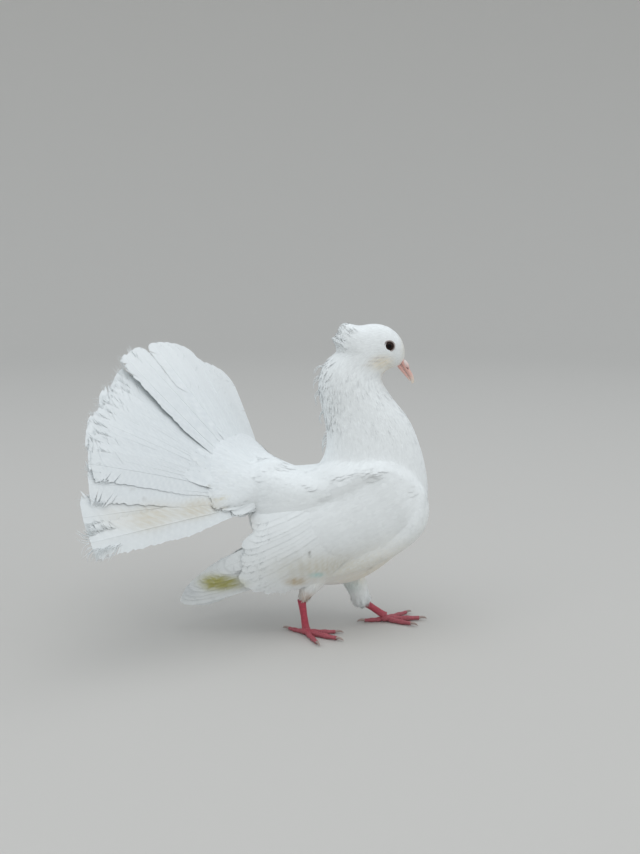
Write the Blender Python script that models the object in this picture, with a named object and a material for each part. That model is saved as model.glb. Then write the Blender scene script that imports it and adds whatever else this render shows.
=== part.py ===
"""A fantail pigeon in mid stride, life size, as separate solid body parts.

The bird faces +X, its left side is +Y and it stands on the plane z = 0.
All sizes below are in millimetres, and make_object turns them into metres.
"""

import math
import random

import bpy
import numpy as np

MM = 0.001
GAP = 0.3
SEED = 11
SIGNS = {"right": -1.0, "left": 1.0}
INNER_REACH = 4.0

# Body: ribs from tail to bill, each (back x, back z, front x, front z, half width)
TORSO_RIBS = (
    (-33.0, 143.0, -44.0, 78.0, 20.0),
    (-22.0, 138.0, -34.0, 57.0, 26.0),
    (-12.0, 136.0, -16.0, 43.0, 31.0),
    (-3.0, 137.0, 6.0, 37.0, 34.0),
    (1.0, 141.5, 35.0, 43.0, 35.0),
    (3.5, 148.0, 62.0, 62.0, 35.0),
    (4.5, 155.0, 79.0, 81.0, 33.5),
    (4.8, 162.0, 87.0, 105.0, 31.5),
    (4.0, 168.0, 87.5, 122.0, 29.5),
)
NECK_RIBS = (
    (2.0, 178.0, 83.0, 146.0, 26.5),
    (-0.5, 188.0, 73.0, 172.0, 23.5),
    (-2.3, 200.0, 58.0, 192.0, 21.3),
    (-1.0, 211.0, 50.5, 204.0, 19.5),
    (3.0, 220.0, 49.5, 209.0, 17.5),
)
HEAD_RIBS = (
    (13.0, 230.0, 51.5, 212.5, 16.2),
    (21.0, 244.5, 53.5, 214.0, 15.4),
    (32.0, 250.0, 56.0, 214.8, 14.5),
    (45.0, 251.5, 58.5, 215.2, 13.4),
    (56.0, 248.0, 60.8, 215.6, 11.8),
    (63.5, 241.0, 62.4, 216.2, 9.4),
    (67.0, 233.0, 63.6, 216.8, 6.8),
    (67.8, 226.0, 64.4, 217.6, 4.8),
)
ROUNDNESS = 2.15
BODY_SIDES = 24
STEPS_PER_RIB = 2

# Eyes, lids and bill
EYE_AT = (54.2, 8.3, 234.3)
EYE_RADIUS = 4.9
LID_RADIUS = 4.5
LID_THICKNESS = 0.75
LID_OUT = 3.1
LID_SLANT = 0.09
LID_STEPS = 14
LID_SIDES = 6
BILL_BASE = (64.6, 219.6)
BILL_DROP = math.radians(56.0)
BILL_LENGTH = 18.6
GAPE_HEIGHT = -0.9
GAPE_SIZES = (4.5, 9.0, 0.35)

# Bill: rings of (distance along, top over the gape, bottom under the gape, half width)
BILL_UPPER = ((-3.0, 4.1, 0.0, 3.1), (2.0, 3.9, 0.0, 2.9), (6.0, 3.5, 0.0, 2.5), (10.0, 3.2, 0.1, 2.1),
              (13.5, 2.8, 0.3, 1.7), (16.5, 1.9, 0.8, 1.1), (BILL_LENGTH, 0.4, 1.5, 0.35))
BILL_LOWER = ((-3.0, 0.0, 3.1, 2.8), (2.0, 0.0, 3.0, 2.6), (7.0, 0.0, 2.4, 2.1),
              (11.0, -0.1, 1.9, 1.7), (14.0, -0.3, 1.5, 1.2), (15.8, -0.7, 1.2, 0.5))
BILL_SIDES = 10
CERE_AT = (3.0, 2.5, 1.5)
CERE_SIZES = (3.9, 1.9, 1.6)
NOSTRIL_AT = (5.2, 1.9, 3.0)
NOSTRIL_SIZES = (1.3, 0.7, 0.4)

# Crest: feathers round the back of the head, tips up, and a few short ones below that stick out
CREST_COUNT = 11
CREST_SPAN = math.radians(70.0)
CREST_ROOT = (29.0, 228.0)
CREST_REACH = (12.0, 13.3)
CREST_HEIGHT = 24.6
CREST_SIDE_DROP = 6.5
CREST_SHORTER = 1.2
CREST_BULGE = 4.6
CREST_LEAN = 0.8
CREST_HALF_WIDTH = 3.1
CREST_STEP = 0.65
CREST_ROWS = ((0.0, 0.8), (0.35, 1.0), (0.7, 0.95), (0.92, 0.55), (1.0, 0.15))
TUFT_TURNS = (-36.0, 0.0, 36.0)
TUFT_DROP = 3.0
TUFT_HEIGHT = 14.0
TUFT_LEAN = 6.0
TUFT_STEP = 1.6

# Wing: a plane through the wrist and the tip, bulging sideways
WRIST = (82.0, 125.0)
WING_TIPS = {"right": (-113.0, 31.0), "left": (-104.0, 20.0)}
WING_BULGE = ((0.0, 22.0), (8.0, 30.0), (20.0, 36.5), (50.0, 43.5), (80.0, 46.0), (110.0, 45.0),
              (150.0, 38.0), (215.0, 29.0))
WING_ROLL = ((0.0, 0.002), (30.0, 0.0025), (60.0, 0.007), (90.0, 0.011), (130.0, 0.012),
             (160.0, 0.008), (215.0, 0.008))
WING_UPPER = ((0.0, 6.0), (8.0, 20.0), (22.0, 36.0), (45.0, 40.0), (70.0, 39.0), (100.0, 37.0),
              (128.0, 32.0), (138.0, 20.0), (152.0, 14.0), (175.0, 10.0), (205.0, 4.0), (215.0, 1.0))
WING_LOWER = ((0.0, -3.0), (7.0, -14.0), (23.0, -26.0), (46.0, -32.0), (72.0, -32.0), (105.0, -28.0),
              (126.0, -26.0), (150.0, -23.0), (165.0, -20.0), (181.0, -15.0), (205.0, -6.0), (215.0, -1.5))

# How far the wing's flesh lies over (+) or under (-) its outer face, by distance from the wrist
WING_FLESH = ((0.0, 1.5), (12.0, 3.0), (22.0, 3.0), (32.0, 1.6), (46.0, -0.4), (56.0, -1.4), (66.0, -2.8),
              (80.0, -5.0), (95.0, -7.0), (110.0, -9.5), (126.0, -12.0))
FEATHER = 0.75
CLEAR = 0.35

# Thin feathers cross in many places, where Blender's default solver leaves open edges
FEATHER_SOLVER = "MANIFOLD"

# Wing feathers: count, root and tip of the lowest and of the highest, half width, height of the tier
WING_TIERS = {
    "primary": (7, (78.0, -20.0), (78.0, 4.0), (215.0, -2.0), (171.0, 9.0), 7.5, -6.6),
    "secondary": (7, (62.0, -25.0), (64.0, 22.0), (167.0, -17.0), (131.0, 30.0), 7.4, -3.6),
    "greater": (7, (42.0, -26.0), (44.0, 22.0), (118.0, -25.0), (109.0, 24.0), 7.6, -0.9),
    "median": (6, (16.0, -22.0), (20.0, 16.0), (84.0, -26.0), (80.0, 14.0), 7.2, 2.0),
    "scapular": (6, (34.0, 30.0), (88.0, 34.0), (76.0, 23.0), (130.0, 33.0), 7.5, 4.2),
}
WING_VARIATION = (2.0, 0.3)
WING_BOW = 2.0
PRIMARY_TILT = 0.02
CORE_STEPS = 12
CORE_EDGE = 3.0
CORE_DEPTH = -16.0
WING_ROWS = ((0.0, 0.55), (0.45, 0.95), (0.8, 1.0), (0.94, 0.72), (1.0, 0.3))

# Tail: quills fan from one point over a wide cone that is rolled towards the bird's right
TAIL_ROOT = (-40.4, 0.0, 108.1)
TAIL_AXIS = (-0.854, 0.333, -0.401)
TAIL_MIDDLE = (-0.76, -0.05, 0.64)
TAIL_CONE = math.radians(73.0)
TAIL_COUNT = 18
TAIL_SPREAD = math.radians(130.0)
TAIL_TURN = math.radians(-3.5)
TAIL_VARIATION = 2.0
TAIL_START = 16.0
TAIL_ARCH = 5.0
TAIL_ARCH_FROM = 40.0
TAIL_ARCH_OVER = 125.0
TAIL_HALF_WIDTH = 14.5
TAIL_ROWS = ((0.0, 0.14), (0.25, 0.48), (0.5, 0.83), (0.75, 1.0), (0.93, 0.78), (1.0, 0.3))

# Reach of the tail feathers by their turn in degrees, from the bird's left to its right
TAIL_REACH = ((-70.0, 170.0), (-60.0, 168.0), (-46.0, 150.0), (-35.0, 160.0), (-22.0, 162.0), (-4.0, 167.0),
              (8.0, 157.0), (22.0, 167.0), (33.0, 174.0), (45.0, 171.0), (57.0, 180.0), (63.0, 174.0))

# Tail coverts: count, first and last reach, half width, spread and height over the fan
TAIL_COVERTS = {
    "upper long": (10, 17.0, 74.0, 11.5, math.radians(132.0), 3.5),
    "upper short": (8, 11.0, 52.0, 10.5, math.radians(126.0), 6.6),
    "under": (7, 16.0, 66.0, 12.0, math.radians(116.0), -3.5),
}
COVERT_VARIATION = 3.0
FAN_STEPS = 14
FAN_MARGIN = 0.06
RUMP_RIBS = (
    (-32.0, 143.5, -43.0, 78.0, 20.0),
    (-43.0, 143.0, -52.0, 88.0, 22.0),
    (-53.0, 138.0, -60.0, 98.0, 19.0),
    (-61.0, 130.0, -65.0, 108.0, 11.0),
)
FAN_PAD = ((8.0, 9.0), (22.0, 9.0), (34.0, 6.2), (44.0, 3.4), (56.0, 0.6),
           (56.0, -0.6), (44.0, -3.0), (34.0, -5.5), (22.0, -8.0), (8.0, -8.0))
COVERT_ROWS = ((0.0, 0.25), (0.4, 0.75), (0.75, 1.0), (0.93, 0.75), (1.0, 0.3))

# Legs: the right foot carries the bird, the left one is a step ahead
LEGS = {
    "right": {"thigh": ((-2.0, -17.0, 58.0), (-8.0, -17.0, 42.0), (-13.0, -17.0, 33.0), (-14.5, -17.0, 27.0)),
              "thigh_radii": (14.0, 10.0, 6.0, 4.2),
              "heel": (-14.5, -17.0, 27.0), "ball": (-11.5, -16.0, 5.0), "yaw": -36.0},
    "left": {"thigh": ((21.0, 17.5, 60.0), (26.0, 17.5, 42.0), (31.5, 17.0, 28.0), (34.5, 17.0, 17.5)),
             "thigh_radii": (15.0, 12.0, 8.8, 6.3),
             "heel": (34.5, 17.0, 18.5), "ball": (54.0, 17.0, 5.0), "yaw": 9.0},
}
THIGH_SIDES = 14
TARSUS_RADIUS = 2.7
ANKLE_LENGTH = 4.0
BALL_SIZES = (4.4, 4.1, 3.4)
BALL_HEIGHT = 3.0
TOE_SIDES = 8
TOE_RISE = 0.9
TOE_LINE = ((0.0, 0.0), (0.35, -1.2), (0.7, -1.3), (1.0, -1.2))
TOE_TAPER = (1.1, 1.0, 0.95, 0.7)
TOES = {
    "hallux": {"turn": 180.0, "length": 17.0, "radius": 1.9},
    "inner": {"turn": -38.0, "length": 24.0, "radius": 2.1},
    "middle": {"turn": -4.0, "length": 29.0, "radius": 2.3},
    "outer": {"turn": 34.0, "length": 26.0, "radius": 2.1},
}
CLAW_LENGTH = 6.5
CLAW_LINE = ((0.0, 0.0), (0.4, 0.0), (0.75, 0.1), (1.0, -0.9))
CLAW_RADII = (1.25, 1.1, 0.75, 0.25)
FLOOR_REACH = 300.0

COLOURS = {
    "white feather": ((0.83, 0.85, 0.86), 0.75),
    "bill": ((0.76, 0.42, 0.38), 0.4),
    "cere": ((0.85, 0.68, 0.62), 0.6),
    "eye": ((0.012, 0.008, 0.008), 0.08),
    "leg skin": ((0.50, 0.06, 0.09), 0.5),
    "claw": ((0.45, 0.36, 0.30), 0.4),
}


def clear_scene():
    for obj in list(bpy.data.objects):
        bpy.data.objects.remove(obj, do_unlink=True)


def material(name):
    found = bpy.data.materials.get(name)
    if found:
        return found
    colour, roughness = COLOURS[name]
    made = bpy.data.materials.new(name)
    made.use_nodes = True
    shader = made.node_tree.nodes["Principled BSDF"]
    shader.inputs["Base Color"].default_value = (*colour, 1.0)
    shader.inputs["Roughness"].default_value = roughness
    shader.inputs["Metallic"].default_value = 0.0
    return made


def make_object(name, points, faces):
    """A mesh object from points in millimetres, its faces turned outwards."""
    mesh = bpy.data.meshes.new(name)
    points = np.asarray(points, float)
    corners = points[[face[:3] for face in faces]]
    if np.linalg.det(corners - points.mean(axis=0)).sum() < 0:
        faces = [tuple(reversed(face)) for face in faces]
    mesh.from_pydata((points * MM).tolist(), [], [tuple(face) for face in faces])
    obj = bpy.data.objects.new(name, mesh)
    bpy.context.scene.collection.objects.link(obj)
    return obj


def smooth_rows(rows, steps):
    """Rows of numbers joined by a Catmull-Rom curve, with steps rows from one to the next."""
    rows = np.asarray(rows, float)
    padded = np.vstack([2 * rows[0] - rows[1], rows, 2 * rows[-1] - rows[-2]])
    made = []
    for index in range(len(rows) - 1):
        before, start, end, after = padded[index:index + 4]
        for step in range(steps):
            t = step / steps
            made.append(0.5 * (2 * start + (end - before) * t
                               + (2 * before - 5 * start + 4 * end - after) * t ** 2
                               + (3 * start - before - 3 * end + after) * t ** 3))
    made.append(rows[-1])
    return np.array(made)


def skin_rings(name, rings):
    """A closed solid through rings of points, with a flat fan at each end."""
    count = len(rings[0])
    points = [point for ring in rings for point in ring]
    faces = []
    for row in range(len(rings) - 1):
        low = row * count
        high = low + count
        for side in range(count):
            after = (side + 1) % count
            faces.append((low + side, low + after, high + after))
            faces.append((low + side, high + after, high + side))
    first = len(points)
    points.append(np.mean(rings[0], axis=0))
    points.append(np.mean(rings[-1], axis=0))
    last_row = (len(rings) - 1) * count
    for side in range(count):
        after = (side + 1) % count
        faces.append((after, side, first))
        faces.append((last_row + side, last_row + after, first + 1))
    return make_object(name, points, faces)


def rib_ring(rib, grow=0.0, shift=0.0):
    """The outline of the body in one rib's plane, widened by grow and moved along by shift."""
    back = np.array((rib[0], 0.0, rib[1]))
    front = np.array((rib[2], 0.0, rib[3]))
    centre = (back + front) / 2
    along = (front - back) / 2
    reach = np.linalg.norm(along)
    along /= reach
    normal = np.array((-along[2], 0.0, along[0]))
    ring = []
    for side in range(BODY_SIDES):
        angle = math.tau * side / BODY_SIDES
        forward = math.copysign(abs(math.cos(angle)) ** (2 / ROUNDNESS), math.cos(angle))
        outward = math.copysign(abs(math.sin(angle)) ** (2 / ROUNDNESS), math.sin(angle))
        ring.append(centre + along * forward * (reach + grow) + normal * shift
                    + np.array((0.0, outward * (rib[4] + grow), 0.0)))
    return np.array(ring)


def body_length(name, ribs, start_gap=0.0, grow=0.0):
    """One length of the body; its first ring stands start_gap clear of the length before it."""
    rows = smooth_rows(ribs, STEPS_PER_RIB)
    rings = [rib_ring(row, grow) for row in rows]
    rings[0] = rib_ring(rows[0], grow, start_gap)
    if grow:
        rings.insert(0, rib_ring(rows[0], grow, -grow))
        rings.append(rib_ring(rows[-1], grow, grow))
    return skin_rings(name, rings)


def limb(name, path, radii, sides=10, grow=0.0):
    """A tapered round limb along a path of points."""
    path = np.asarray(path, float)
    tangents = np.gradient(path, axis=0)
    tangents /= np.linalg.norm(tangents, axis=1)[:, None]
    across = np.cross(tangents[0], (0.0, 0.0, 1.0))
    if np.linalg.norm(across) < 0.1:
        across = np.cross(tangents[0], (1.0, 0.0, 0.0))
    rings = []
    for index, (centre, tangent, radius) in enumerate(zip(path, tangents, radii)):
        across = across - tangent * across.dot(tangent)
        across /= np.linalg.norm(across)
        other = np.cross(tangent, across)
        if index == 0:
            centre = centre - tangent * grow
        if index == len(path) - 1:
            centre = centre + tangent * grow
        angles = math.tau * (np.arange(sides) + 0.5) / sides
        rings.append([centre + (across * math.cos(angle) + other * math.sin(angle)) * (radius + grow)
                      for angle in angles])
    return skin_rings(name, rings)


def ball(name, centre, sizes, turn=None, rows=7, sides=12):
    """An ellipsoid with its half sizes along the rows of turn."""
    turn = np.eye(3) if turn is None else np.asarray(turn, float)
    points = []
    for row in range(1, rows):
        polar = math.pi * row / rows
        for side in range(sides):
            angle = math.tau * side / sides
            points.append((math.sin(polar) * math.cos(angle), math.sin(polar) * math.sin(angle),
                           math.cos(polar)))
    points += [(0.0, 0.0, 1.0), (0.0, 0.0, -1.0)]
    top = len(points) - 2
    faces = []
    for side in range(sides):
        after = (side + 1) % sides
        faces.append((top, side, after))
        low = (rows - 2) * sides
        faces.append((low + after, low + side, top + 1))
        for row in range(rows - 2):
            here = row * sides
            there = here + sides
            faces.append((here + side, there + side, there + after))
            faces.append((here + side, there + after, here + after))
    points = np.array(points) * np.asarray(sizes) @ turn + np.asarray(centre)
    return make_object(name, points, faces)


def box(name, low, high):
    corners = [(x, y, z) for x in (low[0], high[0]) for y in (low[1], high[1]) for z in (low[2], high[2])]
    faces = [(0, 1, 3, 2), (4, 6, 7, 5), (0, 4, 5, 1), (2, 3, 7, 6), (0, 2, 6, 4), (1, 5, 7, 3)]
    return make_object(name, corners, faces)


def vane(surface, root, tip, half_width, level, thickness, rows, bow=0.0):
    """One feather: a thin blade laid on a surface from root to tip, split alike on both faces.

    surface(spot, height) gives a point, and level(spot, sideways) the blade's own height.
    """
    root = np.array(root, float)
    tip = np.array(tip, float)
    length = np.linalg.norm(tip - root)
    along = (tip - root) / length
    across = np.array((-along[1], along[0]))
    rings = []
    for place, fullness in rows:
        middle = root + along * length * place + across * bow * 4 * place * (1 - place)
        upper = []
        under = []
        for side in (-1.0, 0.0, 1.0):
            sideways = side * fullness * half_width
            spot = middle + across * sideways
            height = level(spot, sideways)
            upper.append(surface(spot, height + thickness / 2))
            under.append(surface(spot, height - thickness / 2))
        rings.append(upper + under[::-1])
    points = [point for ring in rings for point in ring]
    count = len(rings[0])
    faces = []
    for row in range(len(rings) - 1):
        for side in range(count):
            a = row * count + side
            b = row * count + (side + 1) % count
            c = a + count
            d = b + count
            if side < count // 2:
                faces += [(a, b, d), (a, d, c)]
            else:
                faces += [(a, b, c), (b, d, c)]
    last = (len(rings) - 1) * count
    for start in (0, last):
        ring = [start + side for side in range(count)]
        ends = [(ring[0], ring[1], ring[4]), (ring[0], ring[4], ring[5]),
                (ring[1], ring[2], ring[3]), (ring[1], ring[3], ring[4])]
        faces += [tuple(reversed(face)) for face in ends] if start == 0 else ends
    return make_object("vane", points, faces)


def evaluated_mesh(obj):
    graph = bpy.context.evaluated_depsgraph_get()
    return bpy.data.meshes.new_from_object(obj.evaluated_get(graph))


def boolean(obj, others, operation, solver="EXACT"):
    """Applies one Boolean of obj with all the others, then removes the others."""
    group = bpy.data.collections.new("operands")
    bpy.context.scene.collection.children.link(group)
    for other in others:
        group.objects.link(other)
    modifier = obj.modifiers.new(operation.lower(), "BOOLEAN")
    modifier.operation = operation
    modifier.operand_type = "COLLECTION"
    modifier.collection = group
    modifier.solver = solver
    made = evaluated_mesh(obj)
    obj.modifiers.clear()
    obj.data = made
    for other in others:
        bpy.data.objects.remove(other, do_unlink=True)
    bpy.data.collections.remove(group)
    return obj


def cut(obj, cutters, solver="EXACT"):
    """Takes each cutter away from obj in turn."""
    for cutter in cutters:
        boolean(obj, [cutter], "DIFFERENCE", solver)
    return obj


def keep_largest(obj):
    """Leaves only the largest closed surface of a mesh."""
    mesh = obj.data
    owner = list(range(len(mesh.vertices)))

    def top(index):
        while owner[index] != index:
            owner[index] = owner[owner[index]]
            index = owner[index]
        return index

    for edge in mesh.edges:
        a, b = edge.vertices
        owner[top(a)] = top(b)
    points = np.array([vertex.co[:] for vertex in mesh.vertices])
    groups = {}
    for polygon in mesh.polygons:
        groups.setdefault(top(polygon.vertices[0]), []).append(tuple(polygon.vertices))

    def volume(faces):
        total = 0.0
        for face in faces:
            for index in range(1, len(face) - 1):
                total += np.linalg.det(points[[face[0], face[index], face[index + 1]]])
        return total

    best = max(groups.values(), key=volume)
    used = sorted({index for face in best for index in face})
    place = {index: number for number, index in enumerate(used)}
    fresh = bpy.data.meshes.new(obj.name)
    fresh.from_pydata(points[used].tolist(), [], [tuple(place[i] for i in face) for face in best])
    obj.data = fresh
    return obj


def finish(obj, name, slot):
    """Names a part, gives it its material and shades its round faces smooth."""
    obj.name = name
    obj.data.name = name
    obj.data.materials.clear()
    obj.data.materials.append(material(slot))
    obj.data.shade_smooth()
    obj.data.set_sharp_from_angle(angle=math.radians(35))
    return obj


def torso_space():
    """The torso grown by the gap, to clear its neighbours with."""
    return body_length("torso space", TORSO_RIBS, 0.0, GAP)


def neck_space():
    return body_length("neck space", (TORSO_RIBS[-1],) + NECK_RIBS, GAP, GAP)


def rump_space():
    return body_length("rump space", RUMP_RIBS, 0.0, GAP)


def head_space():
    return body_length("head space", (NECK_RIBS[-1],) + HEAD_RIBS, GAP, GAP)


def make_torso():
    finish(body_length("torso", TORSO_RIBS), "torso", "white feather")


def make_neck():
    neck = body_length("neck", (TORSO_RIBS[-1],) + NECK_RIBS, GAP)
    finish(neck, "neck", "white feather")


def crest_feather(turn, drop, height, lean, lift):
    """One crest feather, rooted drop below the others; its tip leans outwards by lean."""
    outward = np.array((-math.cos(turn), math.sin(turn), 0.0))
    sideways = np.array((math.sin(turn), math.cos(turn), 0.0))
    root = np.array((CREST_ROOT[0], 0.0, CREST_ROOT[1] - drop)) + outward * (*CREST_REACH, 0.0)

    def surface(spot, rise):
        share = spot[0] / height
        out = CREST_BULGE * math.sin(math.pi * min(max(share, 0.0), 1.0)) + lean * share ** 2
        return root + outward * (out + lift + rise) + sideways * spot[1] + (0.0, 0.0, spot[0])

    return vane(surface, (-1.0, 0.0), (height, 0.0), CREST_HALF_WIDTH, lambda spot, sideways: 0.0,
                FEATHER, CREST_ROWS)


def crest_pieces():
    """The crest: a row of tall feathers, one step in and one step out by turns, over a short row."""
    pieces = []
    for index in range(CREST_COUNT):
        turn = CREST_SPAN * (2 * index / (CREST_COUNT - 1) - 1)
        lift = CREST_STEP * (1 if index % 2 else -1)
        height = CREST_HEIGHT - CREST_SIDE_DROP * (1 - math.cos(turn)) - CREST_SHORTER * (index % 2)
        pieces.append(crest_feather(turn, 0.0, height, CREST_LEAN, lift))
    for turn in TUFT_TURNS:
        pieces.append(crest_feather(math.radians(turn), TUFT_DROP, TUFT_HEIGHT, TUFT_LEAN, TUFT_STEP))
    return pieces


def lid_ring(sign):
    """The ring of lids round one eye."""
    centre = np.array((EYE_AT[0], sign * (EYE_AT[1] + LID_OUT), EYE_AT[2]))
    points = []
    for step in range(LID_STEPS):
        angle = math.tau * step / LID_STEPS
        ray = np.array((math.cos(angle), 0.0, math.sin(angle)))
        slant = LID_SLANT * LID_RADIUS * math.cos(angle)
        for side in range(LID_SIDES):
            turn = math.tau * side / LID_SIDES
            out = LID_THICKNESS * math.sin(turn) - slant
            points.append(centre + ray * (LID_RADIUS + LID_THICKNESS * math.cos(turn)) + (0.0, sign * out, 0.0))
    faces = []
    for step in range(LID_STEPS):
        here = step * LID_SIDES
        there = (step + 1) % LID_STEPS * LID_SIDES
        for side in range(LID_SIDES):
            after = (side + 1) % LID_SIDES
            faces.append((here + side, here + after, there + after))
            faces.append((here + side, there + after, there + side))
    return make_object("lid", points, faces)


def make_head():
    head = body_length("head", (NECK_RIBS[-1],) + HEAD_RIBS, GAP)
    lids = [lid_ring(sign) for sign in SIGNS.values()]
    boolean(head, crest_pieces() + lids, "UNION", FEATHER_SOLVER)
    sockets = []
    for sign in SIGNS.values():
        centre = (EYE_AT[0], sign * EYE_AT[1], EYE_AT[2])
        sockets.append(ball("socket", centre, [EYE_RADIUS + GAP] * 3))
    gape = ball("gape", bill_point(-0.5, GAPE_HEIGHT - GAP / 2), GAPE_SIZES, bill_turn())
    cut(head, sockets + [neck_space(), gape], FEATHER_SOLVER)
    finish(keep_largest(head), "head", "white feather")


def make_eyes():
    for side, sign in SIGNS.items():
        centre = (EYE_AT[0], sign * EYE_AT[1], EYE_AT[2])
        finish(ball("eye", centre, [EYE_RADIUS] * 3), "eye_" + side, "eye")


def bill_point(along, up, sideways=0.0):
    """A point by its distance along the bill, above its middle line, and sideways."""
    x = BILL_BASE[0] + along * math.cos(BILL_DROP) + up * math.sin(BILL_DROP)
    z = BILL_BASE[1] - along * math.sin(BILL_DROP) + up * math.cos(BILL_DROP)
    return np.array((x, sideways, z))


def bill_turn():
    """The bill's own directions: along it, sideways and up from its middle line."""
    return (bill_point(1, 0) - bill_point(0, 0), (0.0, 1.0, 0.0), bill_point(0, 1) - bill_point(0, 0))


def bill_rings(profile, gape):
    """Rings of the bill between a top and a bottom that are measured from the gape's height."""
    rings = []
    for along, top, bottom, half in profile:
        middle = gape + (top - bottom) / 2
        tall = (top + bottom) / 2
        ring = []
        for side in range(BILL_SIDES):
            angle = math.tau * (side + 0.5) / BILL_SIDES
            ring.append(bill_point(along, middle + tall * math.sin(angle), half * math.cos(angle)))
        rings.append(ring)
    return rings


def cere_piece(grow=0.0):
    """The two soft lobes over the base of the bill, joined."""
    along, up, sideways = CERE_AT
    lobes = [ball("cere", bill_point(along, up, sign * sideways), np.array(CERE_SIZES) + grow,
                  bill_turn(), 6, 10) for sign in SIGNS.values()]
    return boolean(lobes[0], lobes[1:], "UNION")


def make_bill():
    upper = skin_rings("upper", bill_rings(BILL_UPPER, GAPE_HEIGHT))
    cut(upper, [head_space(), cere_piece(GAP)])
    finish(keep_largest(upper), "bill_upper", "bill")
    lower = skin_rings("lower", bill_rings(BILL_LOWER, GAPE_HEIGHT - GAP))
    cut(lower, [head_space()])
    finish(keep_largest(lower), "bill_lower", "bill")
    cere = cere_piece()
    along, up, sideways = NOSTRIL_AT
    nostrils = [ball("nostril", bill_point(along, up, sign * sideways), NOSTRIL_SIZES, bill_turn(), 6, 8)
                for sign in SIGNS.values()]
    cut(cere, [head_space()] + nostrils)
    finish(keep_largest(cere), "cere", "cere")


def table(rows, place):
    """Reads a value at a place from rows of (place, value)."""
    return np.interp(place, *zip(*rows))


def wing_surface(side):
    """The wing's outer face: spot is (distance from the wrist, height above the middle line)."""
    sign = SIGNS[side]
    wrist = np.array(WRIST)
    along = np.array(WING_TIPS[side]) - wrist
    along /= np.linalg.norm(along)
    upward = np.array((along[1], -along[0]))

    def surface(spot, height):
        flat = wrist + along * spot[0] + upward * spot[1]
        out = table(WING_BULGE, spot[0]) - table(WING_ROLL, spot[0]) * spot[1] ** 2 + height
        return np.array((flat[0], sign * max(out, INNER_REACH), flat[1]))

    return surface


def wing_core(side):
    """The wing's fleshy part, thick at the shoulder and thin where the long feathers leave it."""
    surface = wing_surface(side)
    rings = []
    for place in np.linspace(2.0, WING_FLESH[-1][0], CORE_STEPS):
        high = table(WING_UPPER, place) - 1.0
        low = table(WING_LOWER, place) + 1.0
        face = table(WING_FLESH, place)
        ring = []
        for part in (0.0, 0.2, 0.4, 0.6, 0.8, 1.0):
            q = low + (high - low) * part
            edge = CORE_EDGE * (2 * part - 1) ** 4
            shoulder = max(0.0, part - 0.7) * 12.0 * max(0.0, min(1.0, (place - 24.0) / 20.0))
            ring.append(surface((place, q), face - edge + shoulder))
        for part in (1.0, 0.75, 0.5, 0.25, 0.0):
            q = low + (high - low) * part
            ring.append(surface((place, q), min(CORE_DEPTH, face - CORE_EDGE)))
        rings.append(ring)
    return skin_rings("wing core", rings)


def wing_feathers(side, tier):
    """One tier of a wing's feathers, each resting on the one below it like shingles."""
    count, low_root, high_root, low_tip, high_tip, half_width, height = WING_TIERS[tier]
    surface = wing_surface(side)
    draw = random.Random(SEED + len(tier))
    pieces = []
    for index in range(count):
        share = index / (count - 1)
        root = np.array(low_root) * (1 - share) + np.array(high_root) * share
        tip = np.array(low_tip) * (1 - share) + np.array(high_tip) * share
        tip = tip + [draw.uniform(-most, most) for most in WING_VARIATION]
        spacing = math.dist(low_root, high_root) / (count - 1)
        tilt = (FEATHER + CLEAR) / spacing
        lift = height
        if tier == "primary":
            tilt = PRIMARY_TILT
            lift = height - (count - 1 - index) * (FEATHER + CLEAR)
        pieces.append(vane(surface, root, tip, half_width,
                           lambda spot, sideways, lift=lift, tilt=tilt: lift - tilt * sideways,
                           FEATHER, WING_ROWS, WING_BOW * (share - 0.5)))
    return pieces


def make_wings():
    for side in SIGNS:
        core = wing_core(side)
        feathers = [piece for tier in WING_TIERS for piece in wing_feathers(side, tier)]
        boolean(core, feathers, "UNION", FEATHER_SOLVER)
        cut(core, [torso_space(), neck_space(), rump_space(), leg_thigh(side, GAP)], FEATHER_SOLVER)
        finish(keep_largest(core), "wing_" + side, "white feather")


def tail_frame():
    axis = np.array(TAIL_AXIS)
    axis /= np.linalg.norm(axis)
    middle = np.array(TAIL_MIDDLE)
    middle -= axis * middle.dot(axis)
    middle /= np.linalg.norm(middle)
    rightward = np.cross(axis, middle)
    if rightward[1] > 0:
        rightward = -rightward
    return axis, middle, rightward


def tail_surface():
    """The fan's upper face: spot is (x, y) on the fan laid flat, its root at the middle."""
    axis, middle, rightward = tail_frame()
    root = np.array(TAIL_ROOT)

    def surface(spot, height):
        reach = math.hypot(spot[0], spot[1])
        turn = math.atan2(spot[1], spot[0])
        ray = middle * math.cos(turn) + rightward * math.sin(turn)
        out = axis * math.cos(TAIL_CONE) + ray * math.sin(TAIL_CONE)
        up = ray * math.cos(TAIL_CONE) - axis * math.sin(TAIL_CONE)
        arch = TAIL_ARCH * max(0.0, (reach - TAIL_ARCH_FROM) / TAIL_ARCH_OVER) ** 2
        return root + out * reach + up * (height - arch)

    return surface


def fan_plate(half_spread, profile, steps):
    """A solid sector of the fan; profile rows are (reach, height) round its section."""
    surface = tail_surface()
    rings = []
    for step in range(steps + 1):
        turn = TAIL_TURN + half_spread * (2 * step / steps - 1)
        rings.append([surface((reach * math.cos(turn), reach * math.sin(turn)), height)
                      for reach, height in profile])
    return skin_rings("fan plate", rings)


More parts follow.
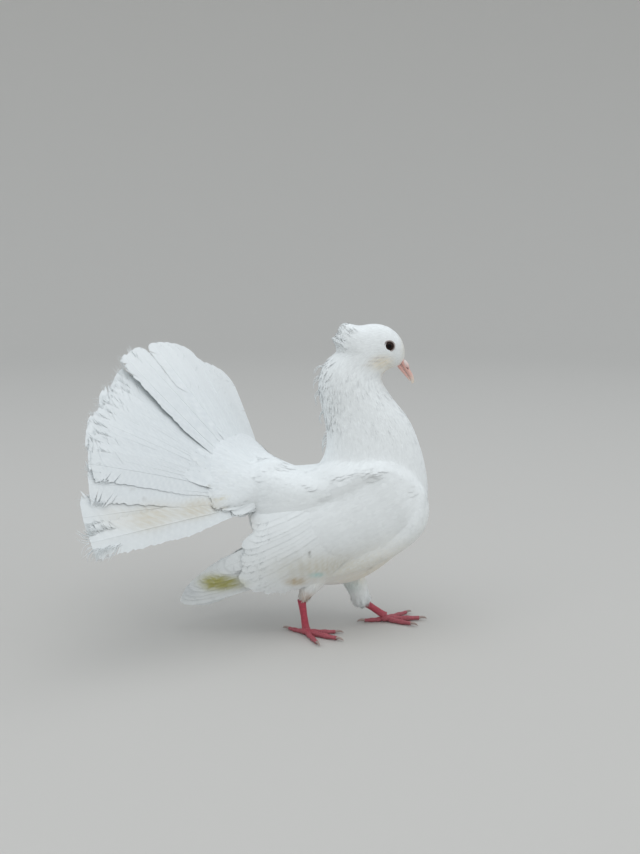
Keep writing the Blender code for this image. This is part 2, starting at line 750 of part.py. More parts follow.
def fan_feathers(count, start, ends, half_width, spread, height, rows):
    """Feathers side by side over the fan, the inner ones on top, as in a real tail."""
    surface = tail_surface()
    step = spread / (count - 1)
    middle = count // 2
    pieces = []
    for index in range(count):
        turn = TAIL_TURN + (index - (count - 1) / 2) * step
        outward = 0 if index == middle else math.copysign(1, index - middle)

        def level(spot, sideways, turn=turn, outward=outward):
            away = (math.atan2(spot[1], spot[0]) - turn) / step
            away = abs(away) if outward == 0 else away * outward
            return height + (FEATHER + CLEAR) * away

        ray = np.array((math.cos(turn), math.sin(turn)))
        pieces.append(vane(surface, ray * start, ray * ends[index], half_width, level, FEATHER, rows))
    return pieces


def make_tail():
    rump = body_length("rump", RUMP_RIBS)
    pieces = [fan_plate(TAIL_SPREAD / 2 + FAN_MARGIN, FAN_PAD, FAN_STEPS)]
    draw = random.Random(SEED)
    turns = np.linspace(-TAIL_SPREAD / 2, TAIL_SPREAD / 2, TAIL_COUNT) + TAIL_TURN
    ends = [table(TAIL_REACH, math.degrees(turn)) + draw.uniform(-TAIL_VARIATION, TAIL_VARIATION)
            for turn in turns]
    pieces += fan_feathers(TAIL_COUNT, TAIL_START, ends, TAIL_HALF_WIDTH, TAIL_SPREAD, 0.0, TAIL_ROWS)
    for count, start, end, half_width, spread, height in TAIL_COVERTS.values():
        ends = [end + draw.uniform(-COVERT_VARIATION, COVERT_VARIATION) for index in range(count)]
        pieces += fan_feathers(count, start, ends, half_width, spread, height, COVERT_ROWS)
    boolean(rump, pieces, "UNION", FEATHER_SOLVER)
    cut(rump, [torso_space()], FEATHER_SOLVER)
    finish(keep_largest(rump), "tail", "white feather")


def leg_thigh(side, grow=0.0):
    leg = LEGS[side]
    radii = smooth_rows([[radius] for radius in leg["thigh_radii"]], STEPS_PER_RIB)[:, 0]
    return limb("thigh", smooth_rows(leg["thigh"], STEPS_PER_RIB), radii, THIGH_SIDES, grow)


def make_toe(side, toe, ball_at):
    """One toe, returned for its foot to take in, and its claw, which is a part of its own."""
    sizes = TOES[toe]
    turn = math.radians(LEGS[side]["yaw"] + SIGNS[side] * sizes["turn"])
    ahead = np.array((math.cos(turn), math.sin(turn), 0.0))
    radius = sizes["radius"]
    base = np.array((ball_at[0], ball_at[1], radius + TOE_RISE))
    places = [base + ahead * sizes["length"] * share + (0.0, 0.0, rise) for share, rise in TOE_LINE]
    start = places[-1] + ahead * GAP
    claw = [start + ahead * CLAW_LENGTH * share + (0.0, 0.0, rise) for share, rise in CLAW_LINE]
    finish(limb("claw", claw, CLAW_RADII, 8), "claw_" + side + "_" + toe, "claw")
    return limb("toe", places, [radius * share for share in TOE_TAPER], TOE_SIDES)


def make_foot(side, ankle, shin):
    """The ball of the foot, its toes and the foot of the shank, flat on the floor below."""
    ball_at = np.array(LEGS[side]["ball"])
    foot = limb("ankle", [ankle, ball_at - shin, ball_at + shin],
                (TARSUS_RADIUS, TARSUS_RADIUS + GAP, TARSUS_RADIUS + GAP))
    pieces = [ball("ball", (ball_at[0], ball_at[1], BALL_HEIGHT), BALL_SIZES)]
    pieces += [make_toe(side, toe, ball_at) for toe in TOES]
    boolean(foot, pieces, "UNION", FEATHER_SOLVER)
    cut(foot, [box("floor", (-FLOOR_REACH, -FLOOR_REACH, -FLOOR_REACH), (FLOOR_REACH, FLOOR_REACH, 0.0))])
    finish(keep_largest(foot), "foot_" + side, "leg skin")


def make_leg(side):
    leg = LEGS[side]
    thigh = leg_thigh(side)
    cut(thigh, [torso_space()])
    finish(keep_largest(thigh), "thigh_" + side, "white feather")
    heel = np.array(leg["heel"])
    run = np.array(leg["ball"]) - heel
    shin = run / np.linalg.norm(run)
    ankle = np.array(leg["ball"]) - shin * ANKLE_LENGTH
    path = [heel - shin, heel + shin * 3.0, (heel + ankle) / 2, ankle - shin * GAP]
    radii = [TARSUS_RADIUS + more for more in (0.5, 0.2, -0.2, 0.0)]
    tarsus = limb("tarsus", path, radii)
    cut(tarsus, [leg_thigh(side, GAP)])
    finish(keep_largest(tarsus), "tarsus_" + side, "leg skin")
    make_foot(side, ankle, shin)


def stand_on_origin():
    """Moves every part so that the middle of the whole bird's base is the origin."""
    points = np.array([vertex.co[:] for obj in bpy.context.scene.objects for vertex in obj.data.vertices])
    low = points.min(axis=0)
    high = points.max(axis=0)
    centre = ((low + high) / 2)[:2]
    for obj in bpy.context.scene.objects:
        for vertex in obj.data.vertices:
            vertex.co.x -= centre[0]
            vertex.co.y -= centre[1]


def main():
    clear_scene()
    make_torso()
    make_neck()
    make_head()
    make_eyes()
    make_bill()
    make_wings()
    make_tail()
    for side in LEGS:
        make_leg(side)
    stand_on_origin()


main()
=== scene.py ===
"""A white fantail pigeon in mid stride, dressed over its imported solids.

Shapes are worked out in the bird's own millimetres: +X is the way it faces, +Y its left,
z = 0 the ground. world() moves them to the frame and to metres.
"""
import math
from functools import partial

import bpy
import numpy as np
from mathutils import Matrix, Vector
from mathutils.bvhtree import BVHTree

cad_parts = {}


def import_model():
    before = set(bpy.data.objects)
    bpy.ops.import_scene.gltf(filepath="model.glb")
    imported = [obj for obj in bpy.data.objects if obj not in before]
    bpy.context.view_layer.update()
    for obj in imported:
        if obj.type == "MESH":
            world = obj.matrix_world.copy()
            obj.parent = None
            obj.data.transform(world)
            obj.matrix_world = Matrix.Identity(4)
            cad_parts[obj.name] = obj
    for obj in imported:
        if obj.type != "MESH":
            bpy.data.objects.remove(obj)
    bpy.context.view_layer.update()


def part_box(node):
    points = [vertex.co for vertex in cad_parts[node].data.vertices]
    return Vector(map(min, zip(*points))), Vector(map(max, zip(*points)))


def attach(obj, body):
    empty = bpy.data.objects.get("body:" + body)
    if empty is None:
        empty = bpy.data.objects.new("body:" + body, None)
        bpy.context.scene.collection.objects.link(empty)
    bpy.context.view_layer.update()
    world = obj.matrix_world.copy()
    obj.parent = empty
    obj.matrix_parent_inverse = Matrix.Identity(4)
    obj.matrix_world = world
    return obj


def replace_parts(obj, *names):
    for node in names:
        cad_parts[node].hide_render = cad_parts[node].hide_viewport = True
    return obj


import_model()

MM = 0.001
SEED = 20
SIGNS = {"right": -1, "left": 1}
EYE_AT = np.array((54.2, 8.3, 234.3))
# The ball round each eye that stays free of small feathers
EYE_GAP_OUT = 3.4
EYE_GAP = 4.9

# Body: ribs from the tail's root to the bill, each (back x, back z, front x, front z, half width)
RUMP_RIBS = (
    (-61, 130, -65, 108, 11),
    (-53, 138, -60, 98, 19),
    (-43, 143, -52, 88, 22),
)
TORSO_RIBS = (
    (-33, 143, -44, 78, 20),
    (-22, 138, -34, 57, 26),
    (-12, 136, -16, 43, 31),
    (-3, 137, 6, 37, 34),
    (1, 141.5, 35, 43, 35),
    (3.5, 148, 62, 62, 35),
    (4.5, 155, 79, 81, 33.5),
    (4.8, 162, 87, 105, 31.5),
    (4, 168, 87.5, 122, 29.5),
)
NECK_RIBS = (
    (2, 178, 83, 146, 26.5),
    (-0.5, 188, 73, 172, 23.5),
    (-2.3, 200, 58, 192, 21.3),
    (-1, 211, 50.5, 204, 19.5),
    (3, 220, 49.5, 209, 17.5),
)
HEAD_RIBS = (
    (13, 230, 51.5, 212.5, 16.2),
    (21, 244.5, 53.5, 214, 15.4),
    (32, 250, 56, 214.8, 14.5),
    (45, 251.5, 58.5, 215.2, 13.4),
    (56, 248, 60.8, 215.6, 11.8),
    (63.5, 241, 62.4, 216.2, 9.4),
    (67, 233, 63.6, 216.8, 6.8),
    (67.8, 226, 64.4, 217.6, 4.8),
)
ROUNDNESS = 2.15
# Heights over which the body's coat turns into the head's
HEAD_FROM = (205, 222)

# Wing: a plane through the wrist and the tip, bulging sideways; tables by the distance from the wrist
WRIST = (82, 125)
WING_TIPS = {"right": (-113, 31), "left": (-104, 20)}
WING_BULGE = ((0, 22), (8, 30), (20, 36.5), (50, 43.5), (80, 46), (110, 45),
              (150, 38), (215, 29))
WING_ROLL = ((0, 0.002), (30, 0.0025), (60, 0.007), (90, 0.011), (130, 0.012),
             (160, 0.008), (215, 0.008))
WING_UPPER = ((0, 6), (8, 20), (22, 36), (45, 40), (70, 39), (100, 37), (128, 32))
WING_LOWER = ((0, -3), (7, -14), (23, -26), (46, -32), (72, -32), (105, -28), (126, -26))
WING_FLESH = ((0, 1.5), (12, 3), (22, 3), (32, 1.6), (46, -0.2), (56, -1), (66, -1.8),
              (80, -2.8), (95, -4.2), (110, -6.8), (126, -11))
FLESH_DEPTH = 2.6
# How far the flesh stays inside the feathers' outline, how near to the body its inner side reaches
FLESH_RIM = 3
FLESH_INNER = -18
INNER_REACH = 4
# Where its small feathers fan down: from and over which distance, below and over which height
FAN_REAR = (40, 60)
FAN_LOW = (14, 30)
FAN_TURN = -0.5
# Scapulars along the wing: middle, half height and thickness by the distance from the wrist
SCAPULARS = (((26, 30), (60, 34.5), (100, 36.5), (126, 34)),
             ((26, 2), (60, 9.5), (100, 7.5), (126, 2.5)),
             ((26, 0.6), (50, 2.4), (100, 4), (126, 5.5)))

# Filling under the wing's front and lower edge: distance from the wrist, height, radius
FLANK = ((8, 2, 8), (13, -10, 11.5), (20, -21, 12), (32, -27, 11.5), (52, -31, 10.5),
         (76, -32, 9.5), (98, -29, 7.5), (112, -27, 5))
# Filling between the wing's upper edge and the back
SHOULDER = ((14, 18, 3.5), (24, 26, 6), (34, 30, 9), (48, 33, 11), (62, 36, 12),
            (90, 36, 12), (112, 33, 10))
SHOULDER_SINK = 1.2
# Mantle between the back and the wings: x, middle height, half height, half width
MANTLE = ((18, 126, 15, 35), (2, 119, 16.5, 36), (-12, 112, 22.5, 33),
          (-24, 107, 27.5, 30), (-36, 106, 31, 26.5), (-47, 106, 32, 22),
          (-57, 112, 24, 15))
MANTLE_ROUNDNESS = 3

# Crest's core: rings of (height, back, front, half width)
CREST_CORE = ((222, 20, 42, 14), (231, 16.5, 42, 15.4), (239, 16, 42, 14.8),
              (245, 16.6, 40, 12.6), (248.3, 17.2, 31, 9), (250.6, 17.6, 24, 5))

# Tail: quills fan from one point over a wide cone that is rolled towards the bird's right
TAIL_ROOT = (-40.4, 0, 108.1)
TAIL_AXIS = (-0.854, 0.333, -0.401)
TAIL_MIDDLE = (-0.76, -0.05, 0.64)
TAIL_CONE = math.radians(73)
TAIL_SPREAD = math.radians(130)
TAIL_TURN = math.radians(-3.5)
TAIL_REACH = ((-70, 178), (-58, 164), (-48, 154), (-41, 167), (-22, 165), (-3, 167),
              (3, 158), (12, 163), (21, 167), (32, 178), (40, 170), (46, 173),
              (54, 180), (61, 180))
TAIL_ARCH = 5
TAIL_ARCH_FROM = 40
TAIL_ARCH_OVER = 125
FAN_PAD = ((8, 13.5), (22, 12.8), (34, 9), (46, 5.2), (58, 2.2), (66, 0.2),
           (66, -1.2), (44, -2.6), (34, -4.4), (22, -6.1), (8, -6.1))
FAN_PAD_THIN = ((-70, 1), (25, 1), (50, 0.6), (62, 0.3))

# Web of feathers between the rump and the fan: (turn, reach) of its edge on the fan and the place of
# its foot on the rump, where it starts and how that changes; how far it sags between them
WEB_EDGE = np.array(((-70, 84), (40, -22)))
WEB_FOOT = np.array(((-27, 12, 138), (-22, -14, -2)))
WEB_SAG = 2.6

# Legs: thigh paths and radii, heels, balls of the feet and the way the feet point
LEGS = {
    "right": {"thigh": ((-2, -17, 58), (-8, -17, 42), (-13, -17, 33), (-14.5, -17, 27)),
              "thigh_radii": (14, 10, 6, 4.2),
              "heel": (-14.5, -17, 27), "ball": (-11.5, -16, 5), "yaw": -36},
    "left": {"thigh": ((21, 17.5, 60), (26, 17.5, 42), (31.5, 17, 28), (36, 17, 14.5)),
             "thigh_radii": (15, 12, 9.8, 8.3),
             "heel": (34.5, 17, 18.5), "ball": (54, 17, 5), "yaw": 9},
}
TOES = {
    "hallux": {"turn": 180, "length": 17, "radius": 1.9},
    "inner": {"turn": -38, "length": 24, "radius": 2.1},
    "middle": {"turn": -4, "length": 29, "radius": 2.3},
    "outer": {"turn": 34, "length": 26, "radius": 2.1},
}
CLAW_LENGTH = 6.5
SCUTE = 2.1
TOE_JOINTS = 3

# Coat: how deep it is over the skin, and the way it lies on the simpler forms
COAT = {"head": 0.9, "body": 1.5, "thigh": 1.4}
LIES = {"mantle": (-1, 0, -0.2), "flank": (-0.8, 0, -0.6), "web": (-0.35, 0.75, 0.45)}
SKIN_VOXEL = 2
SMOOTHINGS = 14
BODY_SIDES = 48
FORM_SIDES = 40
LIMB_SIDES = 20
# Size of a tuft's patch on the map, and places tried for each root
PATCH = 0.003
TRIES = 9

WHITE = (0.865, 0.895, 0.90)
# Base colour in the materials that take their colour from the points
PLAIN = (0.8, 0.8, 0.8)
BARB_LEAN = 11
BARB_PITCH = 1.2

low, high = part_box("eye_right")
SHIFT = np.array((low + high) / 2) / MM - EYE_AT * (1, -1, 1)
rng = np.random.default_rng(SEED)


def world(points):
    return (np.asarray(points, float) + SHIFT) * MM


def unit(vectors):
    size = np.linalg.norm(vectors, axis=-1, keepdims=True)
    return vectors / np.maximum(size, 1e-9)


def table(rows, place):
    return np.interp(place, *zip(*rows))


def circle(count):
    """Angles at even steps, once round."""
    return math.tau * np.arange(count) / count


def ray_of(turn):
    """The direction on the flat that is turned by an angle from x."""
    return np.array((math.cos(turn), math.sin(turn)))


def mixed(one, other, share):
    """A colour or a place by its share of the way from one to the other."""
    return np.asarray(one) * (1 - share) + np.asarray(other) * share


def at_place(place, heights):
    """Rows of (place, height)."""
    return np.column_stack([np.full(len(heights), place), heights])


def smooth_rows(rows, steps):
    """Rows of numbers joined by a Catmull-Rom curve, with steps rows from one to the next."""
    rows = np.asarray(rows, float)
    padded = np.vstack([2 * rows[0] - rows[1], rows, 2 * rows[-1] - rows[-2]])
    made = []
    for index in range(len(rows) - 1):
        before, start, end, after = padded[index:index + 4]
        for step in range(steps):
            t = step / steps
            made.append(0.5 * (2 * start + (end - before) * t
                               + (2 * before - 5 * start + 4 * end - after) * t ** 2
                               + (3 * start - before - 3 * end + after) * t ** 3))
    made.append(rows[-1])
    return np.array(made)


def new_object(name, data):
    made = bpy.data.objects.new(name, data)
    bpy.context.scene.collection.objects.link(made)
    return made


def paint(mesh, tint):
    """Gives each point of a mesh its colour."""
    colour = mesh.attributes.new("tint", "FLOAT_COLOR", "POINT")
    rows = np.column_stack([tint, np.ones(len(tint))])
    colour.data.foreach_set("color", rows.astype(np.float32).ravel())


def read(rows, name, size, kind=np.float32):
    """One named value of each row of mesh data, as an array."""
    values = np.empty(len(rows) * size, kind)
    rows.foreach_get(name, values)
    return values.reshape(-1, size).astype(float if kind == np.float32 else int)


class Batch:
    """Gathers points and faces of many small forms for one piece."""

    def __init__(self):
        self.points, self.faces, self.uvs, self.lanes, self.normals, self.shades = [], [], [], [], [], []
        self.count = 0

    def add(self, points, faces, uvs=None, lanes=None, normals=None, shade=1):
        """Adds one form; uvs, lanes and normals have one row for each point."""
        points = np.asarray(points, float).reshape(-1, 3)
        self.faces += [tuple(corner + self.count for corner in face) for face in faces]
        self.points.append(points)
        for rows, given, width in ((self.uvs, uvs, 2), (self.lanes, lanes, 2), (self.normals, normals, 3)):
            rows.append(np.zeros((len(points), width)) if given is None else np.reshape(given, (-1, width)))
        self.shades.append(np.broadcast_to(shade, len(points)))
        self.count += len(points)

    def piece(self, name, material, slot, colour=None):
        """The mesh piece; its tint is the plumage's, or colour(points), times each form's own shade."""
        points = np.vstack(self.points)
        mesh = bpy.data.meshes.new(name)
        mesh.from_pydata(world(points).tolist(), [], self.faces)
        mesh.shade_smooth()
        corners = np.empty(len(mesh.loops), np.int32)
        mesh.loops.foreach_get("vertex_index", corners)
        for label, rows in (("OFBake", np.vstack(self.uvs)), ("lane", np.vstack(self.lanes))):
            if rows.any():
                layer = mesh.uv_layers.new(name=label)
                layer.uv.foreach_set("vector", rows.astype(np.float32)[corners].ravel())
        paint(mesh, (colour or plumage_tint)(points) * np.concatenate(self.shades)[:, None])
        mesh.materials.append(material)
        normals = np.vstack(self.normals)
        if normals.any():
            mesh.normals_split_custom_set_from_vertices(normals.tolist())
        piece = new_object(name, mesh)
        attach(piece, "root")
        return piece


def grid_faces(rows, columns, wrap=False):
    """Quads over a grid of points; wrap joins the last column to the first."""
    faces = []
    for row in range(rows - 1):
        for column in range(columns if wrap else columns - 1):
            after = (column + 1) % columns
            a = row * columns
            faces.append((a + column, a + after, a + columns + after, a + columns + column))
    return faces


def loft(rings):
    """A closed form through rings of points, with a fan at each end: (points, faces)."""
    rings = np.asarray(rings, float)
    count, sides = rings.shape[:2]
    points = np.vstack([rings.reshape(-1, 3), rings[0].mean(0), rings[-1].mean(0)])
    faces = grid_faces(count, sides, True)
    ends = count * sides
    for side in range(sides):
        after = (side + 1) % sides
        faces.append((after, side, ends))
        faces.append(((count - 1) * sides + side, (count - 1) * sides + after, ends + 1))
    tris = np.array([face[:3] for face in faces])
    if np.linalg.det(points[tris] - points.mean(0)).sum() < 0:
        faces = [face[::-1] for face in faces]
    return points, faces


def grid_normals(grid, towards):
    """Normals of a grid of points, on the side that towards points to."""
    normals = unit(np.cross(np.gradient(grid, axis=0), np.gradient(grid, axis=1)))
    flip = np.sign(np.sum(normals * towards, axis=-1, keepdims=True))
    return normals * np.where(flip == 0, 1, flip)


def slab(top, under):
    """A thin closed sheet between two equal grids of points: (points, faces)."""
    rows, columns = top.shape[:2]
    points = np.vstack([top.reshape(-1, 3), under.reshape(-1, 3)])
    size = rows * columns
    faces = grid_faces(rows, columns)
    faces += [tuple(corner + size for corner in face[::-1]) for face in grid_faces(rows, columns)]
    rim = list(range(columns))
    rim += [row * columns + columns - 1 for row in range(1, rows)]
    rim += [(rows - 1) * columns + column for column in range(columns - 2, -1, -1)]
    rim += [row * columns for row in range(rows - 2, 0, -1)]
    for here, there in zip(rim, rim[1:] + rim[:1]):
        faces.append((here, here + size, there + size, there))
    out = np.cross(np.gradient(top, axis=0), np.gradient(top, axis=1))
    if np.sum(out * (top - under)) > 0:
        faces = [face[::-1] for face in faces]
    return points, faces


# Body shape
def squarish(values, roundness):
    """Sines or cosines, bent so that their circle grows squarer above a roundness of 2."""
    return np.sign(values) * np.abs(values) ** (2 / roundness)


def rib_rings(ribs, inset):
    """Outlines of the body in the ribs' planes, drawn in by inset millimetres (one for each rib)."""
    forward = squarish(np.cos(circle(BODY_SIDES)), ROUNDNESS)
    outward = squarish(np.sin(circle(BODY_SIDES)), ROUNDNESS)
    rings = []
    for (back_x, back_z, front_x, front_z, half), less in zip(ribs, inset):
        back = np.array((back_x, 0, back_z))
        front = np.array((front_x, 0, front_z))
        reach = np.linalg.norm(front - back) / 2
        along = (front - back) / (2 * reach)
        rings.append((back + front) / 2 + np.outer(forward * (reach - less), along)
                     + np.outer(outward * (half - less), (0, 1, 0)))
    return rings


def body_rows():
    """The ribs at close steps, and how far each is drawn in for the coat."""
    rows = smooth_rows(RUMP_RIBS + TORSO_RIBS + NECK_RIBS + HEAD_RIBS, 4)
    heights = rows[:, [1, 3]].mean(1)
    return rows, np.interp(heights, HEAD_FROM, (COAT["body"], COAT["head"]))


def wing_frame(side):
    """The wrist, the way along the wing and the way up across it, all in the plane of x and z."""
    wrist = np.array(WRIST)
    along = unit(np.array(WING_TIPS[side]) - wrist)
    return wrist, along, np.array((along[1], -along[0]))


def wing_point(side, spot, height):
    """The wing's outer face at (distance from the wrist, height above the middle line)."""
    spot = np.asarray(spot, float)
    wrist, along, upward = wing_frame(side)
    flat = wrist + spot[..., :1] * along + spot[..., 1:] * upward
    out = table(WING_BULGE, spot[..., 0]) - table(WING_ROLL, spot[..., 0]) * spot[..., 1] ** 2 + height
    return np.stack([flat[..., 0], SIGNS[side] * np.maximum(out, INNER_REACH), flat[..., 1]], -1)


def wing_pad(side):
    """The wing's flesh, from the shoulder to where the long feathers leave it."""
    rings = []
    share = np.linspace(0, 1, 9)
    for place in np.linspace(3, WING_FLESH[-1][0] - 6, 22):
        high = table(WING_UPPER, place) - FLESH_RIM
        low = table(WING_LOWER, place) + FLESH_RIM
        face = table(WING_FLESH, place) - FLESH_DEPTH
        heights = low + (high - low) * share
        upper = wing_point(side, at_place(place, heights), face - 3 * (2 * share - 1) ** 4)
        under = wing_point(side, at_place(place, heights[::-1]), min(FLESH_INNER, face - 3))
        rings.append(np.vstack([upper, under]))
    return loft(rings)


def wing_lie(side, point):
    """The way the small feathers lie on the wing: along it, and fanned down at its lower rear."""
    wrist, along, upward = wing_frame(side)
    away = point[[0, 2]] - wrist
    rear = np.clip((away @ along - FAN_REAR[0]) / FAN_REAR[1], 0, 1)
    turn = FAN_TURN * rear * np.clip((FAN_LOW[0] - away @ upward) / FAN_LOW[1], 0, 1)
    flat = along * math.cos(turn) + upward * math.sin(turn)
    return flat[0], 0, flat[1]


def scapular_pad(side):
    """The soft feathers of the shoulder, which lie over the wing's upper edge."""
    rings = []
    angles = circle(16)
    for place in np.linspace(SCAPULARS[0][0][0], SCAPULARS[0][-1][0], 24):
        middle, half, high = (table(rows, place) for rows in SCAPULARS)
        heights = table(WING_FLESH, place) - COAT["body"] + high * np.sin(angles)
        rings.append(wing_point(side, at_place(place, middle + half * np.cos(angles)), heights))
    return loft(rings)


def edge_pad(side, table_rows, sink):
    """A roll of feathers at an edge of the wing, sink below the wing's flesh."""
    rows = smooth_rows(table_rows, 6)
    path = np.array([wing_point(side, row[:2], table(WING_FLESH, row[0]) - FLESH_DEPTH - sink - row[2])
                     for row in rows])
    return loft(limb_rings(path, rows[:, 2], LIMB_SIDES))


def mantle():
    """The feathers of the back, out to the wings' upper edges."""
    angles = circle(FORM_SIDES)
    roundness = np.where(np.sin(angles) > 0, MANTLE_ROUNDNESS, 2)
    rings = []
    for x, middle, high, half in smooth_rows(MANTLE, 4):
        across = half * squarish(np.cos(angles), roundness)
        heights = middle + high * squarish(np.sin(angles), roundness)
        rings.append(np.column_stack([np.full(FORM_SIDES, x), across, heights]))
    return loft(rings)


def crest_core():
    """The root of the crest: a hood over the back of the head."""
    angles = circle(FORM_SIDES)
    rings = []
    for height, back, front, half in smooth_rows(CREST_CORE, 4):
        rings.append(np.column_stack([(back + front) / 2 + (front - back) / 2 * np.cos(angles),
                                      half * np.sin(angles), np.full(FORM_SIDES, height)]))
    return loft(rings)


def tail_frame():
    """The cone's axis, the way to the fan's middle and the way to the bird's right."""
    axis = unit(np.array(TAIL_AXIS))
    middle = np.array(TAIL_MIDDLE)
    middle = unit(middle - axis * middle.dot(axis))
    rightward = np.cross(axis, middle)
    return axis, middle, rightward if rightward[1] < 0 else -rightward


def tail_point(spot, height):
    """The fan's upper face: spot is (x, y) on the fan laid flat, its root at the middle."""
    axis, middle, rightward = tail_frame()
    spot = np.asarray(spot, float)
    reach = np.linalg.norm(spot, axis=-1)[..., None]
    turn = np.arctan2(spot[..., 1], spot[..., 0])[..., None]
    ray = middle * np.cos(turn) + rightward * np.sin(turn)
    out = axis * math.cos(TAIL_CONE) + ray * math.sin(TAIL_CONE)
    up = ray * math.cos(TAIL_CONE) - axis * math.sin(TAIL_CONE)
    arch = TAIL_ARCH * np.maximum(0, (reach - TAIL_ARCH_FROM) / TAIL_ARCH_OVER) ** 2
    return np.array(TAIL_ROOT) + out * reach + up * (np.asarray(height)[..., None] - arch)


def tail_pad():
    """The thick root of the fan."""
    rings = []
    for turn in np.linspace(-TAIL_SPREAD / 2, TAIL_SPREAD / 2, 30) + TAIL_TURN:
        full = table(FAN_PAD_THIN, math.degrees(turn))
        rings.append([tail_point(ray_of(turn) * reach, height * full) for reach, height in FAN_PAD])
    return loft(rings)


def tail_web():
    """Feathers that run from the rump up to the far edge of the fan."""
    rings = []
    for share in np.linspace(0, 1, 14):
        turn, reach = WEB_EDGE[0] + WEB_EDGE[1] * share
        edge = ray_of(math.radians(turn)) * reach
        foot = WEB_FOOT[0] + WEB_FOOT[1] * share
        top, under, low = tail_point(edge, 1.2), tail_point(edge, -1.6), tail_point(edge * 0.3, -2)
        rings.append([foot, (foot * 0.55 + top * 0.45) - (0, 0, WEB_SAG), top, under, low])
    return loft(rings)


def limb_rings(path, radii, sides, across=(0, 1, 0)):
    """Rings round a path, all turned the same way."""
    path = np.asarray(path, float)
    tangents = unit(np.gradient(path, axis=0))
    across = np.array(across, float)
    angles = circle(sides)
    rings = []
    for centre, tangent, radius in zip(path, tangents, radii):
        across = unit(across - tangent * across.dot(tangent))
        other = np.cross(tangent, across)
        rings.append(centre + radius * (np.outer(np.cos(angles), across) + np.outer(np.sin(angles), other)))
    return np.array(rings)


def thigh_form(side):
    """The feathered thigh, drawn in for its coat."""
    leg = LEGS[side]
    radii = smooth_rows([[radius] for radius in leg["thigh_radii"]], 5)[:, 0] - COAT["thigh"]
    return loft(limb_rings(smooth_rows(leg["thigh"], 5), radii, LIMB_SIDES))


